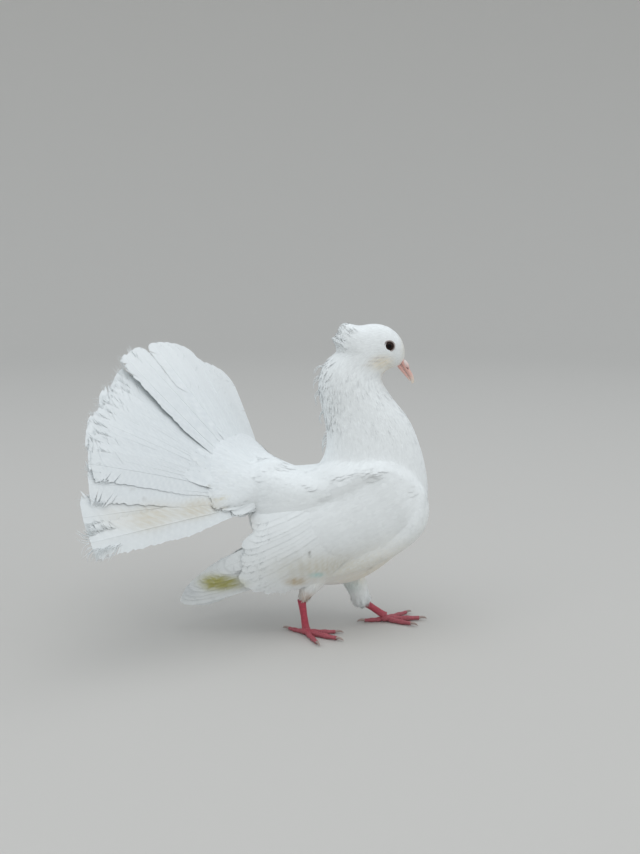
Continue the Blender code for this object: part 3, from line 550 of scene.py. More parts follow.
class Skin:
    """The whole skin as one closed mesh, with the way the coat lies at each of its points."""

    def __init__(self):
        rows, inset = body_rows()
        forms = [(loft(rib_rings(rows, inset)), "body")]
        for side in SIGNS:
            forms.append((wing_pad(side), "wing " + side))
            forms.append((thigh_form(side), "thigh " + side))
            forms.append((scapular_pad(side), "wing " + side))
            forms.append((edge_pad(side, FLANK, 0), "flank"))
            forms.append((edge_pad(side, SHOULDER, SHOULDER_SINK), "mantle"))
        forms += [(mantle(), "mantle"), (crest_core(), "crest"), (tail_pad(), "tail"), (tail_web(), "web")]
        points = []
        faces = []
        kinds = []
        for (form_points, form_faces), kind in forms:
            start = len(points)
            points += form_points.tolist()
            faces += [tuple(corner + start for corner in face) for face in form_faces]
            kinds += [kind] * len(form_faces)
        points = np.array(points)
        self.piece = self.remesh(points, faces)
        mesh = self.piece.data
        self.points = read(mesh.vertices, "co", 3) / MM - SHIFT
        self.normals = read(mesh.vertices, "normal", 3)
        mesh.calc_loop_triangles()
        self.tris = read(mesh.loop_triangles, "vertices", 3, np.int32)
        self.tri_loops = read(mesh.loop_triangles, "loops", 3, np.int32)
        self.tree = BVHTree.FromPolygons(self.points.tolist(), self.tris.tolist())
        self.unwrap()
        self.lay(points, faces, kinds, len(rows) - 2)

    def remesh(self, points, faces):
        """One smoothed closed mesh round all the forms."""
        mesh = bpy.data.meshes.new("skin")
        mesh.from_pydata(world(points).tolist(), [], faces)
        piece = new_object("skin", mesh)
        voxels = piece.modifiers.new("voxels", "REMESH")
        voxels.mode = "VOXEL"
        voxels.voxel_size = SKIN_VOXEL * MM
        smooth = piece.modifiers.new("smooth", "SMOOTH")
        smooth.factor = 0.5
        smooth.iterations = SMOOTHINGS
        graph = bpy.context.evaluated_depsgraph_get()
        made = bpy.data.meshes.new_from_object(piece.evaluated_get(graph))
        piece.modifiers.clear()
        piece.data = made
        made.name = "skin"
        made.shade_smooth()
        return piece

    def unwrap(self):
        """A map of the skin by its own shape, and the map's place for each triangle corner."""
        mesh = self.piece.data
        mesh.uv_layers.new(name="OFBake")
        bpy.context.view_layer.objects.active = self.piece
        self.piece.select_set(True)
        bpy.ops.object.mode_set(mode="EDIT")
        bpy.ops.mesh.select_all(action="SELECT")
        bpy.ops.uv.smart_project(angle_limit=math.radians(66), island_margin=0.004)
        bpy.ops.object.mode_set(mode="OBJECT")
        self.uvs = read(self.piece.data.uv_layers["OFBake"].uv, "vector", 2)

    def lay(self, points, faces, kinds, last_row):
        """The way the coat lies: down each form, then smoothed over the skin."""
        tree = BVHTree.FromPolygons(points.tolist(), faces)
        flow = np.zeros_like(self.points)
        kinds_here = []
        for index, point in enumerate(self.points):
            _, _, face, _ = tree.find_nearest(Vector(point))
            kind = kinds[face]
            kinds_here.append(kind)
            if kind == "body":
                corner = face % BODY_SIDES + min(face // BODY_SIDES, last_row) * BODY_SIDES
                flow[index] = points[corner] - points[corner + BODY_SIDES]
            elif kind in LIES:
                flow[index] = LIES[kind]
            elif kind.startswith("wing"):
                flow[index] = wing_lie(kind[5:], point)
            elif kind.startswith("thigh"):
                path = LEGS[kind[6:]]["thigh"]
                flow[index] = np.subtract(path[-1], path[0])
            elif kind == "crest":
                flow[index] = (-1, 0, np.interp(point[0], (18, 40), (1.3, 0.1)))
            else:
                flow[index] = point - TAIL_ROOT
        flow = unit(flow)
        edges = read(self.piece.data.edges, "vertices", 2, np.int32)
        for _ in range(SMOOTHINGS):
            total = flow.copy()
            np.add.at(total, edges[:, 0], flow[edges[:, 1]])
            np.add.at(total, edges[:, 1], flow[edges[:, 0]])
            total -= self.normals * np.sum(total * self.normals, axis=1)[:, None]
            flow = unit(total)
        self.flow = flow
        self.kind = np.array(kinds_here)[self.tris[:, 0]]
        self.middles = self.points[self.tris].mean(1)

    def sample(self, spacing, wanted):
        """Roots about spacing apart on the wanted triangles: points, normals, flow, uv."""
        first, second, third = np.moveaxis(self.points[self.tris], 1, 0)
        area = np.linalg.norm(np.cross(second - first, third - first), axis=1) / 2
        area = np.where(wanted, area, 0)
        count = int(area.sum() / spacing ** 2 * TRIES)
        chosen = rng.choice(len(area), count, p=area / area.sum())
        a, b = rng.random(count), rng.random(count)
        over = a + b > 1
        a[over], b[over] = 1 - a[over], 1 - b[over]
        weights = np.stack([1 - a - b, a, b], 1)[:, :, None]
        tris = self.tris[chosen]
        points = (self.points[tris] * weights).sum(1)
        cells = np.floor(points / spacing)
        order = np.argsort(np.linalg.norm(points / spacing - cells - 0.5, axis=1))
        _, first = np.unique(cells[order].astype(int), axis=0, return_index=True)
        best = order[first]
        tris, weights = tris[best], weights[best]
        normals = unit((self.normals[tris] * weights).sum(1))
        flow = unit((self.flow[tris] * weights).sum(1))
        return points[best], normals, flow, (self.uvs[self.tri_loops[chosen[best]]] * weights).sum(1)

    def near(self, points):
        """What sample gives, at the places on the skin that are nearest to points."""
        rows = []
        for point in points:
            place, _, tri, _ = self.tree.find_nearest(Vector(point))
            corner = self.tris[tri][0]
            rows.append((place, self.normals[corner], self.flow[corner], self.uvs[self.tri_loops[tri][0]]))
        return [np.array(column) for column in zip(*rows)]

    def drop(self, points):
        """The nearest places on the skin, and the way out there."""
        places = np.empty_like(points)
        outs = np.empty_like(points)
        for index, point in enumerate(points):
            places[index], _, tri, _ = self.tree.find_nearest(Vector(point))
            outs[index] = self.normals[self.tris[tri]].mean(0)
        return places, unit(outs)


# Small feathers, in rows of (share of the length, share of the width)
LEAF_ROWS = ((0.22, 0.72), (0.6, 1), (0.88, 0.74))
FINE_ROWS = ((0.35, 1), (0.8, 0.8))
POINTED_ROWS = ((0.2, 0.8), (0.5, 1), (0.82, 0.5))
FOLD = 0.7
TWIST = 0.12
ROUNDED = 0.14
FREE_FROM = 0.55


def leaf_faces(rows):
    """Faces of one leaf: a root point, rows of four points and a tip."""
    faces = [(0, 1 + side, 1 + (side + 1) % 4) for side in range(4)]
    for row in range(rows - 1):
        low = 1 + row * 4
        for side in range(4):
            after = (side + 1) % 4
            faces.append((low + side, low + 4 + side, low + 4 + after, low + after))
    low = 1 + (rows - 1) * 4
    tip = low + 4
    return faces + [(tip, low + (side + 1) % 4, low + side) for side in range(4)]


def add_leaves(batch, start, middle, end, side, outs, half_width, camber, uv, rows, shade,
               roundness=ROUNDED, free=False):
    """Closed leaf-shaped feathers, each from start over middle to end.

    outs are the three ways out of the coat there. The feathers are shaded by them, so that the
    coat reads as one soft surface with fine edges; the tips of free ones are shaded by their own shape.
    """
    half_width = half_width[:, None]
    columns = [start]
    normals = [outs[0]]
    lane = [(0, 0)]
    for t, width in rows:
        weights = ((1 - t) * (1 - 2 * t), 4 * t * (1 - t), t * (2 * t - 1))
        centre = start * weights[0] + middle * weights[1] + end * weights[2]
        out = unit(outs[0] * weights[0] + outs[1] * weights[1] + outs[2] * weights[2])
        columns += [centre - side * half_width * width, centre + out * camber * width,
                    centre + side * half_width * width, centre + out * camber * (width - 1) * 0.5]
        normals += [unit(out - side * roundness), out, unit(out + side * roundness), -out]
        lane += [(-width, t), (0, t), (width, t), (0, t)]
    columns.append(end)
    normals.append(outs[2])
    lane.append((0, 1))
    points = np.stack(columns, 1)
    normals = np.stack(normals, 1)
    lane = np.array(lane)
    if free:
        normals[:, lane[:, 1] > FREE_FROM] = 0
    count, size = points.shape[:2]
    base = np.arange(count)[:, None] * size
    many = []
    for face in leaf_faces(len(rows)):
        many += (base + np.array(face)).tolist()
    uvs = uv[:, None, :] + (lane * (0.5, 1) - (0, 0.5))[None] * PATCH
    batch.add(points, many, uvs, np.tile(lane, (count, 1)), normals, np.repeat(shade, size))


def add_tufts(batch, skin, roots, length, half_width, lift, rows, camber, rough, tone, roundness):
    """Small feathers that lie along the skin; lift is (root, middle, tip) height over it.

    They are shorter where the skin bends, and left out where it folds.
    """
    points, normals, flow, uv = roots
    length = length * rng.uniform(0.85, 1.15, len(points))
    twist = rng.normal(0, TWIST, len(points))[:, None]
    side = unit(np.cross(normals, flow))
    ahead = unit(flow * np.cos(twist) + side * np.sin(twist))
    _, end_out = skin.drop(points + ahead * length[:, None])
    _, side_out = skin.drop(points + side * half_width)
    level = np.sum(normals * np.stack([end_out, side_out]), axis=2).min(0)
    level = np.interp(level, (0.7, 0.97), (0.4, 1))
    length = length * level
    middle, middle_out = skin.drop(points + ahead * length[:, None] * 0.5)
    end, end_out = skin.drop(points + ahead * length[:, None])
    lies = np.minimum(np.sum(normals * middle_out, axis=1), np.sum(normals * end_out, axis=1)) > FOLD
    points, normals, uv, middle, middle_out, end, end_out, level = (
        values[lies] for values in (points, normals, uv, middle, middle_out, end, end_out, level))
    count = len(points)
    wobble = rng.normal(1, rough, count)[:, None]
    start = points + normals * lift[0]
    middle = middle + middle_out * (lift[1] * wobble)
    end = end + end_out * (lift[2] * wobble)
    side = unit(np.cross(normals, end - start))
    side = unit(side + normals * rng.normal(0, 0.03, count)[:, None])
    shaded = np.stack([normals, middle_out, end_out])
    shaded = unit(shaded + rng.normal(0, tone, (1, count, 3)))
    add_leaves(batch, start, middle, end, side, shaded, half_width * level, camber, uv, rows,
               rng.normal(1, tone, count).clip(0.8, 1.06), roundness)


# Long feathers
QUILL = {"bow": 0, "roof": (0, 0), "steps": 4, "shaft": 0.8, "base_width": 0.35, "slit_from": 0.45}
VANE_END = 0.985


class Quill:
    """One long feather laid on a surface: a shaft, and vanes of barbs that part here and there.

    Distances along it are x, across it y. lift is its height, rise what its tip adds by the power
    ease, tilt slopes the whole feather over the next, and roof lets the two vanes fall away from the
    shaft. barbs and steps are the grid of a vane, slits and gap its parts, ragged its uneven edge.
    """

    def __init__(self, surface, root, tip, half_width, seed, **settings):
        self.surface = surface
        self.root = np.array(root, float)
        away = np.array(tip, float) - self.root
        self.length = np.linalg.norm(away)
        self.along = away / self.length
        self.across = np.array((-self.along[1], self.along[0]))
        self.half_width = half_width
        self.draw = np.random.default_rng(SEED * 1000 + seed)
        self.shade = self.draw.normal(1, 0.012)
        vars(self).update({**QUILL, **settings})

    def place(self, x, y, height=0, plain=False):
        """A point by its distance along and across the feather; plain leaves out the tilt."""
        share = x / self.length
        bend = self.bow * 4 * share * (1 - share)
        spot = (self.root + self.along * np.asarray(x)[..., None]
                + self.across * (np.asarray(y) + bend)[..., None])
        lift = (self.lift + self.rise * share ** self.ease
                - (self.roof[0] * np.maximum(-y, 0) + self.roof[1] * np.maximum(y, 0)) * share + height)
        return self.surface(spot, lift if plain else lift + self.tilt * y)

    def fullness(self, share):
        """The width of a vane at each share of the length, as a share of the full width."""
        body = self.base_width + (1 - self.base_width) * np.clip(share / 0.4, 0, 1) ** 0.8
        beyond = np.clip(share - self.tip_from, 0, 1) / (1 - self.tip_from)
        return body * (0.12 + 0.88 * np.sqrt(np.clip(1 - beyond ** 2.4, 0, 1)))

    def lean(self, share, reach):
        """How far along the feather a barb's end is ahead of its root."""
        return 0.8 * reach * np.clip((1.02 - share) * 6, 0, 1)

    def vane(self, batch, sign, island):
        """One side of the feather, parted where its barbs have come unhooked."""
        draw = self.draw
        share = np.linspace(0, 1, self.barbs + 1)
        noise = draw.normal(0, self.ragged, self.barbs + 1)
        noise = noise * np.interp(share, (0.4, 0.8, 1), (0.2, 0.4, 1.8))
        reach = self.half_width * self.fullness(share) * (1 + noise)
        lean = self.lean(share, reach)
        cuts = self.barbs * draw.uniform(self.slit_from, 0.97, draw.poisson(self.slits))
        edges = [0, *np.unique(cuts.astype(int)), self.barbs]
        for start, end in zip(edges, edges[1:]):
            opened = self.gap * draw.uniform(0.4, 1.6) if end < self.barbs else 0
            lines = np.arange(start, end + 1)
            weight = np.clip((lines - end + 5) / 5, 0, 1)
            self.part(batch, sign, share[lines], reach[lines], lean[lines], -weight * opened, island,
                      draw.uniform(-0.2, 0.2) if len(cuts) else 0)

    def part(self, batch, sign, share, reach, lean, shift, island, raised):
        """One run of barbs as a closed sheet; shift draws the tips back, raised lifts them."""
        m = np.linspace(0, 1, self.steps + 1)
        x = share[:, None] * self.length * VANE_END + lean[:, None] * m ** 1.15 + shift[:, None] * m ** 2.5
        x = np.minimum(x, self.length * 1.01)
        y = sign * reach[:, None] * m * np.ones_like(x)
        half = 0.11 - 0.06 * m
        top = self.place(x, y, half + raised * m ** 2)
        under = self.place(x, y, -half + raised * m ** 2)
        out = self.place(x, y, 1) - self.place(x, y, 0)
        shared = grid_normals(self.place(x, y, 0, True), out)
        normals = unit(0.75 * shared + 0.25 * grid_normals(top, out))
        points, faces = slab(top, under)
        lane = np.stack([y / self.half_width, x], -1)
        patch = self.patch(island, x, y)
        batch.add(points, faces, np.stack([patch, patch]), np.stack([lane, lane]),
                  np.stack([normals, -normals]), self.shade)

    def patch(self, island, x, y):
        """The map's place of a point of this feather, inside its own strip."""
        return np.stack([island[0] + island[2] * (0.5 + 0.4 * y / self.half_width),
                         island[1] + island[3] * x / (self.length * 1.1)], -1)

    def rachis(self, batch, island):
        share = np.linspace(0, VANE_END, 20)
        x = share * self.length
        half = self.shaft * (1 - share) ** 0.8 * 0.5 + 0.1
        top = half * 0.8 + 0.1
        rings = np.stack([self.place(x, -half, 0.05), self.place(x, -half * 0.5, top),
                          self.place(x, half * 0.5, top), self.place(x, half, 0.05),
                          self.place(x, half * 0, -half * 0.6 - 0.15)], 1)
        points, faces = loft(rings)
        along = np.append(np.repeat(x, 5), (0, x[-1]))
        batch.add(points, faces, self.patch(island, along, along * 0))

    def fringe(self, batch, sign, start, count, size, island):
        """Loose barb ends along one edge, from share start to the tip."""
        draw = self.draw
        t = np.linspace(0, 1, 5)
        for share in draw.uniform(start, 1, count):
            reach = self.half_width * self.fullness(share)
            long = size * draw.uniform(0.4, 1.3)
            slope = draw.normal(0.9, 0.25) * 0.6
            x = share * self.length * VANE_END + self.lean(share, reach) - 1.5 + t * long * math.cos(slope)
            bend = draw.normal(0, 0.12) * long * t ** 2
            y = sign * (reach * 0.93 + t * long * math.sin(slope) + bend)
            path = self.place(x, y, draw.normal(0, 0.18) * long * t ** 2)
            add_strand(batch, path, 0.17, self.patch(island, x[0], y[0]))

    def fringes(self, batch, start, count, size, island):
        for sign in (-1, 1):
            self.fringe(batch, sign, start, count, size, island)

    def add(self, vanes, shafts, island):
        for sign in (-1, 1):
            self.vane(vanes, sign, island)
        if shafts is not None:
            self.rachis(shafts, island)


def islands(count):
    """Side-by-side strips of the map, one for each long feather."""
    width = 1 / count
    return iter([(index * width, 0.01, width * 0.96, 0.98) for index in range(count)])


def add_strand(batch, path, radius, uv):
    """A loose barb: a thin tapered thread along a path."""
    radii = radius * np.linspace(1, 0.3, len(path))
    points, faces = loft(limb_rings(path, radii, 3))
    batch.add(points, faces, np.tile(uv, (len(points), 1)))


# Colours and materials
CREAM = (0.86, 0.78, 0.62)
OLIVE = (0.46, 0.44, 0.16)
MARKS_AND_PAINTED_SHADE = (
    # Stains and tints of the feathers, and painted shade where so marked: centre, radii, colour, strength; a
    # mark on one side only has its y
    # Painted bluish shade over the whole tail
    ((-120, -20, 150), (75, 170, 70), (0.72, 0.76, 0.78), 0.75),
    ((49, -13, 221), (10, 9, 6), CREAM, 0.7),
    ((49, 13, 221), (10, 9, 6), CREAM, 0.7),
    ((55, 0, 213), (9, 9, 7), CREAM, 0.7),
    ((68, 0, 230), (6, 10, 12), CREAM, 0.4),
    # Painted warm shade on the lower breast, where it turns downward
    ((60, 0, 60), (36, 60, 24), CREAM, 0.4),
    # Painted warm shade on the near wing's lower part
    ((10, -44, 58), (45, 18, 14), (0.64, 0.61, 0.50), 0.8),
    ((66, 0, 219), (4, 9, 4), (0.85, 0.66, 0.58), 0.5),
    # Painted warm shade under the belly
    ((36, 0, 48), (44, 34, 13), CREAM, 0.55),
    ((84, 0, 84), (9, 26, 26), CREAM, 0.4),
    ((-84, -30, 46), (12, 24, 7), OLIVE, 1.1),
    ((-74, -30, 46), (13, 24, 6), OLIVE, 0.9),
    # Painted bluish shade at the near wing's tip
    ((-106, -28, 37), (9, 24, 7), (0.74, 0.77, 0.79), 0.7),
    ((-19, -36, 48.5), (8, 20, 4), (0.58, 0.48, 0.32), 0.8),
    ((-2.4, -38, 54.5), (6, 20, 2.4), (0.45, 0.70, 0.68), 0.7),
    ((26, 12, 34), (8, 10, 7), (0.55, 0.68, 0.66), 0.5),
    # Painted shadow in a slit at the near wing's lower edge
    ((-8, -42, 74), (1, 16, 2.8), (0.38, 0.38, 0.36), 0.8),
    # Painted shadow under the tail's root
    ((-59, 0, 97), (12, 16, 7), (0.60, 0.58, 0.54), 0.4),
    ((-11, -17, 33), (7, 7, 9), (0.52, 0.38, 0.28), 0.9),
    ((47, -15, 225.3), (6, 6, 0.6), (0.60, 0.58, 0.55), 0.9),
    ((43, -15, 222.4), (6, 6, 0.6), (0.62, 0.60, 0.56), 0.9),
    ((38, -15, 219.6), (5, 6, 0.6), (0.64, 0.62, 0.58), 0.9),
    ((-76.9, -17.4, 135.6), (3.5, 6, 1.6), (0.52, 0.52, 0.38), 0.6),
    ((-86, -37, 128.3), (2, 5, 0.9), (0.42, 0.40, 0.32), 0.6),
    ((-78, -37, 118.3), (6, 9, 1), (0.62, 0.55, 0.32), 0.5),
    ((-75, -39, 111.1), (4, 5, 0.9), (0.50, 0.46, 0.36), 0.5),
    ((-129.7, -86.4, 129.1), (1.2, 3, 1.2), (0.35, 0.33, 0.30), 0.8),
    ((-138.6, -89.8, 136.3), (2.2, 4, 0.8), (0.40, 0.38, 0.34), 0.6),
    # Painted shadow of the feather above on the lowest tail feathers, out to their tips
    ((-93, -57, 114.5), (22, 22, 7), (0.66, 0.62, 0.52), 0.75),
    ((-123, -89, 116), (24, 24, 9), (0.68, 0.64, 0.54), 0.7),
    ((-147, -108, 121), (14, 16, 9), (0.80, 0.78, 0.72), 0.4),
    # Painted shadow under the tail's root, on the near side
    ((-59, -28, 95), (10, 12, 6), (0.60, 0.58, 0.54), 0.5),
)


def plumage_tint(points):
    """The plumage's colour at each point: white, with soft marks: stains, tints and painted shade."""
    colour = np.tile(np.array(WHITE), (len(points), 1))
    across = points[:, 2] * 0.9 - points[:, 0] * 0.43
    streaks = 1 + 0.4 * np.sin(across * 2.9) * np.sin(across * 0.8 + points[:, 0] * 0.2)
    for centre, radii, shade, strength in MARKS_AND_PAINTED_SHADE:
        away = np.sum(((points - centre) / radii) ** 2, axis=1)
        weight = (strength * np.exp(-away ** 1.4) * streaks).clip(0, 1)[:, None]
        colour = mixed(colour, shade, weight)
    return colour


def principled(material):
    return material.node_tree.nodes["Principled BSDF"]


def link(material, start, start_socket, end, end_socket):
    material.node_tree.links.new(start.outputs[start_socket], end.inputs[end_socket])


def shader(name, colour, roughness, **sockets):
    material = bpy.data.materials.new(name)
    material.use_nodes = True
    node = principled(material)
    node.inputs["Base Color"].default_value = (*colour, 1)
    node.inputs["Roughness"].default_value = roughness
    for socket, value in sockets.items():
        node.inputs[socket.replace("_", " ")].default_value = value
    return material


def new_node(material, kind, inputs=None, **settings):
    """A node; each of its inputs is given as a number, or as the node and the output that feed it."""
    node = material.node_tree.nodes.new("ShaderNode" + kind)
    for name, value in settings.items():
        setattr(node, name, value)
    for socket, given in (inputs or {}).items():
        if isinstance(given, tuple):
            link(material, *given, node, socket)
        else:
            node.inputs[socket].default_value = given
    return node


def tint_and_grain(material, scale, contrast):
    """Base colour: the tint times a fine mottling of the given contrast; the grain's node."""
    tint = new_node(material, "Attribute", attribute_name="tint")
    position = new_node(material, "TexCoord")
    grain = new_node(material, "TexNoise", {"Scale": scale, "Detail": 3, "Vector": (position, "Object")})
    level = new_node(material, "MapRange", {"From Min": 0.25, "From Max": 0.75, "To Min": 1 - contrast,
                                            "To Max": 1 + contrast * 0.4, "Value": (grain, "Fac")})
    mix = new_node(material, "Mix", {0: 1, 6: (tint, "Color"), 7: (level, "Result")},
                   data_type="RGBA", blend_type="MULTIPLY")
    link(material, mix, 2, principled(material), "Base Color")
    return grain


def add_bump(material, height, socket, strength, distance):
    bump = new_node(material, "Bump", {"Strength": strength, "Distance": distance,
                                       "Height": (height, socket)})
    link(material, bump, "Normal", principled(material), "Normal")


def lane_parts(material):
    lane = new_node(material, "UVMap", uv_map="lane")
    return new_node(material, "SeparateXYZ", {"Vector": (lane, "UV")})


def grained_material(name, roughness, scale, contrast, depth):
    """Skin or horn: the tint, mottled, with a fine bump of the same grain."""
    material = shader(name, PLAIN, roughness)
    add_bump(material, tint_and_grain(material, scale, contrast), "Fac", 0.6, depth)
    return material


def scaly_material(name, roughness, scale, contrast, depth):
    """Leg skin: the tint, mottled, with small rounded scales between the scutes."""
    material = shader(name, PLAIN, roughness)
    tint_and_grain(material, scale * 0.6, contrast)
    position = new_node(material, "TexCoord")
    scales = new_node(material, "TexVoronoi", {"Scale": scale, "Vector": (position, "Object")})
    turned = new_node(material, "Math", {0: (scales, "Distance"), 1: -1}, operation="MULTIPLY")
    add_bump(material, turned, "Value", 0.8, depth)
    return material


def plumage_material(name, barbs):
    """White feather: the tint, a little mottling, and on long feathers fine barb lines."""
    material = shader(name, WHITE, 0.85, Sheen_Weight=0.2, Sheen_Roughness=0.5, Specular_IOR_Level=0.2)
    tint_and_grain(material, 260, 0.025)
    if barbs:
        lane = lane_parts(material)
        side = new_node(material, "Math", {0: (lane, "X")}, operation="ABSOLUTE")
        slope = new_node(material, "Math", {0: (side, "Value"), 1: -BARB_LEAN, 2: (lane, "Y")},
                         operation="MULTIPLY_ADD")
        wave = new_node(material, "Math", {0: (slope, "Value"), 1: math.tau / BARB_PITCH},
                        operation="MULTIPLY")
        sine = new_node(material, "Math", {0: (wave, "Value")}, operation="SINE")
        add_bump(material, sine, "Value", 0.2, 0.00015)
    return material


# The eye's rings of colour by the distance from its axis: pupil, inner and outer iris, rim
EYE_RINGS = ((0.34, (0.004, 0.003, 0.003, 1)), (0.4, (0.028, 0.011, 0.007, 1)),
             (0.66, (0.018, 0.008, 0.006, 1)), (0.78, (0.006, 0.005, 0.005, 1)))


def eye_material_of(name):
    """A wet eye, coloured by rings."""
    material = shader(name, (0.01, 0.008, 0.008), 0.08, Coat_Weight=0.05, Specular_IOR_Level=0.12)
    ramp = new_node(material, "ValToRGB", {"Fac": (lane_parts(material), "X")})
    stops = ramp.color_ramp.elements
    stops.remove(stops[1])
    stops[0].position, stops[0].color = EYE_RINGS[0]
    for place, colour in EYE_RINGS[1:]:
        stops.new(place).color = colour
    link(material, ramp, "Color", principled(material), "Base Color")
    return material


plumage = plumage_material("plumage", False)
vane_material = plumage_material("vanes", True)
shaft_material = grained_material("shafts", 0.5, 900, 0.04, 0.00003)
bill_material = grained_material("bill", 0.4, 700, 0.10, 0.00004)
cere_material = grained_material("cere", 0.75, 1500, 0.12, 0.00015)
nostril_material = grained_material("nostril", 0.8, 900, 0.1, 0.00003)
eye_material = eye_material_of("eye")
lid_material = grained_material("lids", 0.6, 1800, 0.25, 0.0001)
leg_material = scaly_material("leg skin", 0.5, 1300, 0.30, 0.00018)
claw_material = grained_material("claw", 0.4, 900, 0.2, 0.00005)


# Pieces
def make_skin():
    skin = Skin()
    mesh = skin.piece.data
    paint(mesh, plumage_tint(skin.points))
    mesh.materials.clear()
    mesh.materials.append(plumage)
    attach(skin.piece, "root")
    return skin


def thinned(value, none, full):
    """A random choice that is never made below none and always above full."""
    return rng.random(len(value)) < (value - none) / (full - none)


def make_coat(skin):
    """Small feathers over the head, neck and body, in pieces from front to back."""
    x, y, z = skin.middles.T
    eye_gap = np.stack([x, np.abs(y), z], 1) - EYE_AT - (0, EYE_GAP_OUT, 0)
    kind = skin.kind
    body = kind == "body"
    thigh = np.char.startswith(kind, "thigh")
    not_eye = np.linalg.norm(eye_gap, axis=1) >= EYE_GAP
    regions = (
        # name, where, spacing, length, half width, heights, form, crown, roughness, tone, roundness
        ("coat_face", lambda: body & (z > 211) & (x >= 57) & not_eye,
         0.95, 2.1, 0.5, (-0.15, 0.02, 0), FINE_ROWS, 0.2, 0, 0.03, ROUNDED),
        ("coat_brow", lambda: body & (x > 64) & (z > 224) & (z < 241),
         1.3, 2.6, 0.5, (-0.1, 0.1, 0.1), POINTED_ROWS, 0.2, 0.4, 0.02, ROUNDED),
        ("coat_head", lambda: body & (z > 219) & (x < 57) & not_eye | (kind == "crest"),
         1.15, 4.4, 0.85, (-0.2, 0.05, 0), FINE_ROWS, 0.3, 0, 0.03, ROUNDED),
        ("coat_nape", lambda: body & (z > 196) & (z <= 221) & (x < 57.5),
         1.6, 6.5, 1.2, (-0.25, 0.1, 0.1), FINE_ROWS, 0.4, 0.6, 0.03, ROUNDED),
        ("coat_neck", lambda: body & (z <= 198) & thinned(z, 148, 166),
         1.9, 9, 1.8, (-0.3, 0.1, 0.1), LEAF_ROWS, 0.5, 0.5, 0.025, ROUNDED),
        ("coat_flecks", lambda: body & (z <= 214) & thinned(z, 158, 178),
         3.4, 7, 0.7, (-0.2, 0.4, 0.3), POINTED_ROWS, 0.25, 0.4, 0.04, 0.5),
        ("coat_ruffle", lambda: body & (z > 172) & (z <= 228) & thinned(-x, -16, 2),
         2.6, 8, 1.2, (-0.2, 0.35, 0.8), POINTED_ROWS, 0.3, 0.6, 0.02, 0.4),
        ("coat_body", lambda: body & thinned(-z, -172, -152),
         2.6, 13, 3.4, (-0.3, 0.05, -0.05), LEAF_ROWS, 0.6, 0.3, 0.015, ROUNDED),
        ("coat_folds", lambda: (kind == "flank") | (kind == "mantle"),
         1.9, 7, 2, (-0.3, 0, -0.3), LEAF_ROWS, 0.4, 0.3, 0.015, ROUNDED),
        ("coat_rump", lambda: (body | (kind == "mantle")) & (x < -40) & (z > 100),
         2.8, 15, 3.2, (-0.3, 0.1, 0), LEAF_ROWS, 0.6, 0.4, 0.015, ROUNDED),
        ("coat_wings", lambda: np.char.startswith(kind, "wing"),
         2.6, 14, 3.6, (-0.3, 0.05, -0.05), LEAF_ROWS, 0.6, 0.3, 0.015, ROUNDED),
        ("coat_thighs", lambda: thigh,
         1.7, 7, 1.4, (-0.2, 0.1, 0.1), FINE_ROWS, 0.4, 0.6, 0.03, ROUNDED),
        ("coat_cuffs", lambda: thigh & (z < np.where(y > 0, 24, 34)),
         1.6, 6.5, 0.9, (-0.2, 0.6, 1.5), POINTED_ROWS, 0.3, 0.5, 0.02, 0.6),
        ("coat_web", lambda: kind == "web",
         1.7, 6, 1.3, (-0.3, 0, -0.35), LEAF_ROWS, 0.3, 0.2, 0.015, ROUNDED),
        ("coat_tail_root", lambda: (kind == "tail") & (np.linalg.norm(skin.middles - TAIL_ROOT, axis=1) < 68),
         2.6, 13, 2.8, (-0.3, 0.1, 0.1), LEAF_ROWS, 0.5, 0.4, 0.015, ROUNDED),
    )
    for name, where, spacing, *looks in regions:
        batch = Batch()
        add_tufts(batch, skin, skin.sample(spacing, where()), *looks)
        batch.piece(name, plumage, "white_feather")


# Edges of long feathers: settings, then the count and size of the loose barbs at each side
NEAT = ({"ragged": 0.02, "slit_from": 0.6, "tip_from": 0.84}, 10, 3)
FRAYED = ({"ragged": 0.12, "slit_from": 0.8, "tip_from": 0.92}, 34, 6)
TAIL_QUILL = {"tilt": -0.025, "barbs": 70, "steps": 6, "slits": 2, "gap": 1.3, "ease": 2, "shaft": 1,
              "base_width": 0.12}
# Distance of the feathers' roots from the fan's root
QUILL_FROM = 18
# Tail feathers by lobe: first and last turn in degrees, count, half width, height at the root,
# rise of the tip, bow, and how far the inner and the outer vane slope away from the shaft
TAIL_LOBES = (
    (-64.5, -22.5, 10, 14, 0.6, 3, 0, (0, 0)),
    (-12, -12, 1, 14, 0.4, 2, 0, (0, 0)),
    (-4, -4, 1, 14, 0.5, 3, 7, (0, -0.22)),
    (2, 40, 14, 13, 0, 0, 0, (0, 0)),
    (45.5, 45.5, 1, 14.5, -0.2, -1.5, 0, (0.05, 0.1)),
    (54, 54, 1, 16, -1.6, -4, 0, (0, 0)),
    (60.5, 60.5, 1, 13.5, -0.8, -3.4, 0, (0.1, 0.05)),
)
FRAYED_FROM = -5
CURLED_BARBS = 36
# Tail coverts: count, root and tip distance, half width, height at the root and its change
UPPER_COVERTS = ((36, 22, 82, 6.5, 6.2, -6.2), (32, 16, 68, 6.5, 7.2, -7),
                 (26, 10, 54, 6.5, 8, -7.4))
UNDER_COVERTS = ((24, 16, 72, 8, -5.5, 5.3), (18, 10, 54, 7.5, -6.5, 5.9))
COVERT_QUILL = {"ease": 0.5, "barbs": 24, "slits": 0.5, "gap": 1, "ragged": 0.06, "base_width": 0.3,
                "tip_from": 0.45}
# First and last turn of the coverts in degrees, and how their length changes with it
COVERT_TURNS = (-68, 61)
COVERT_LENGTHS = ((-70, 1), (35, 1), (60, 0.62))
# First seeds of the tail coverts and of the wing feathers, and the step from tier to tier
COVERT_SEED = 200
WING_SEED = 500
TIER_SEEDS = 40


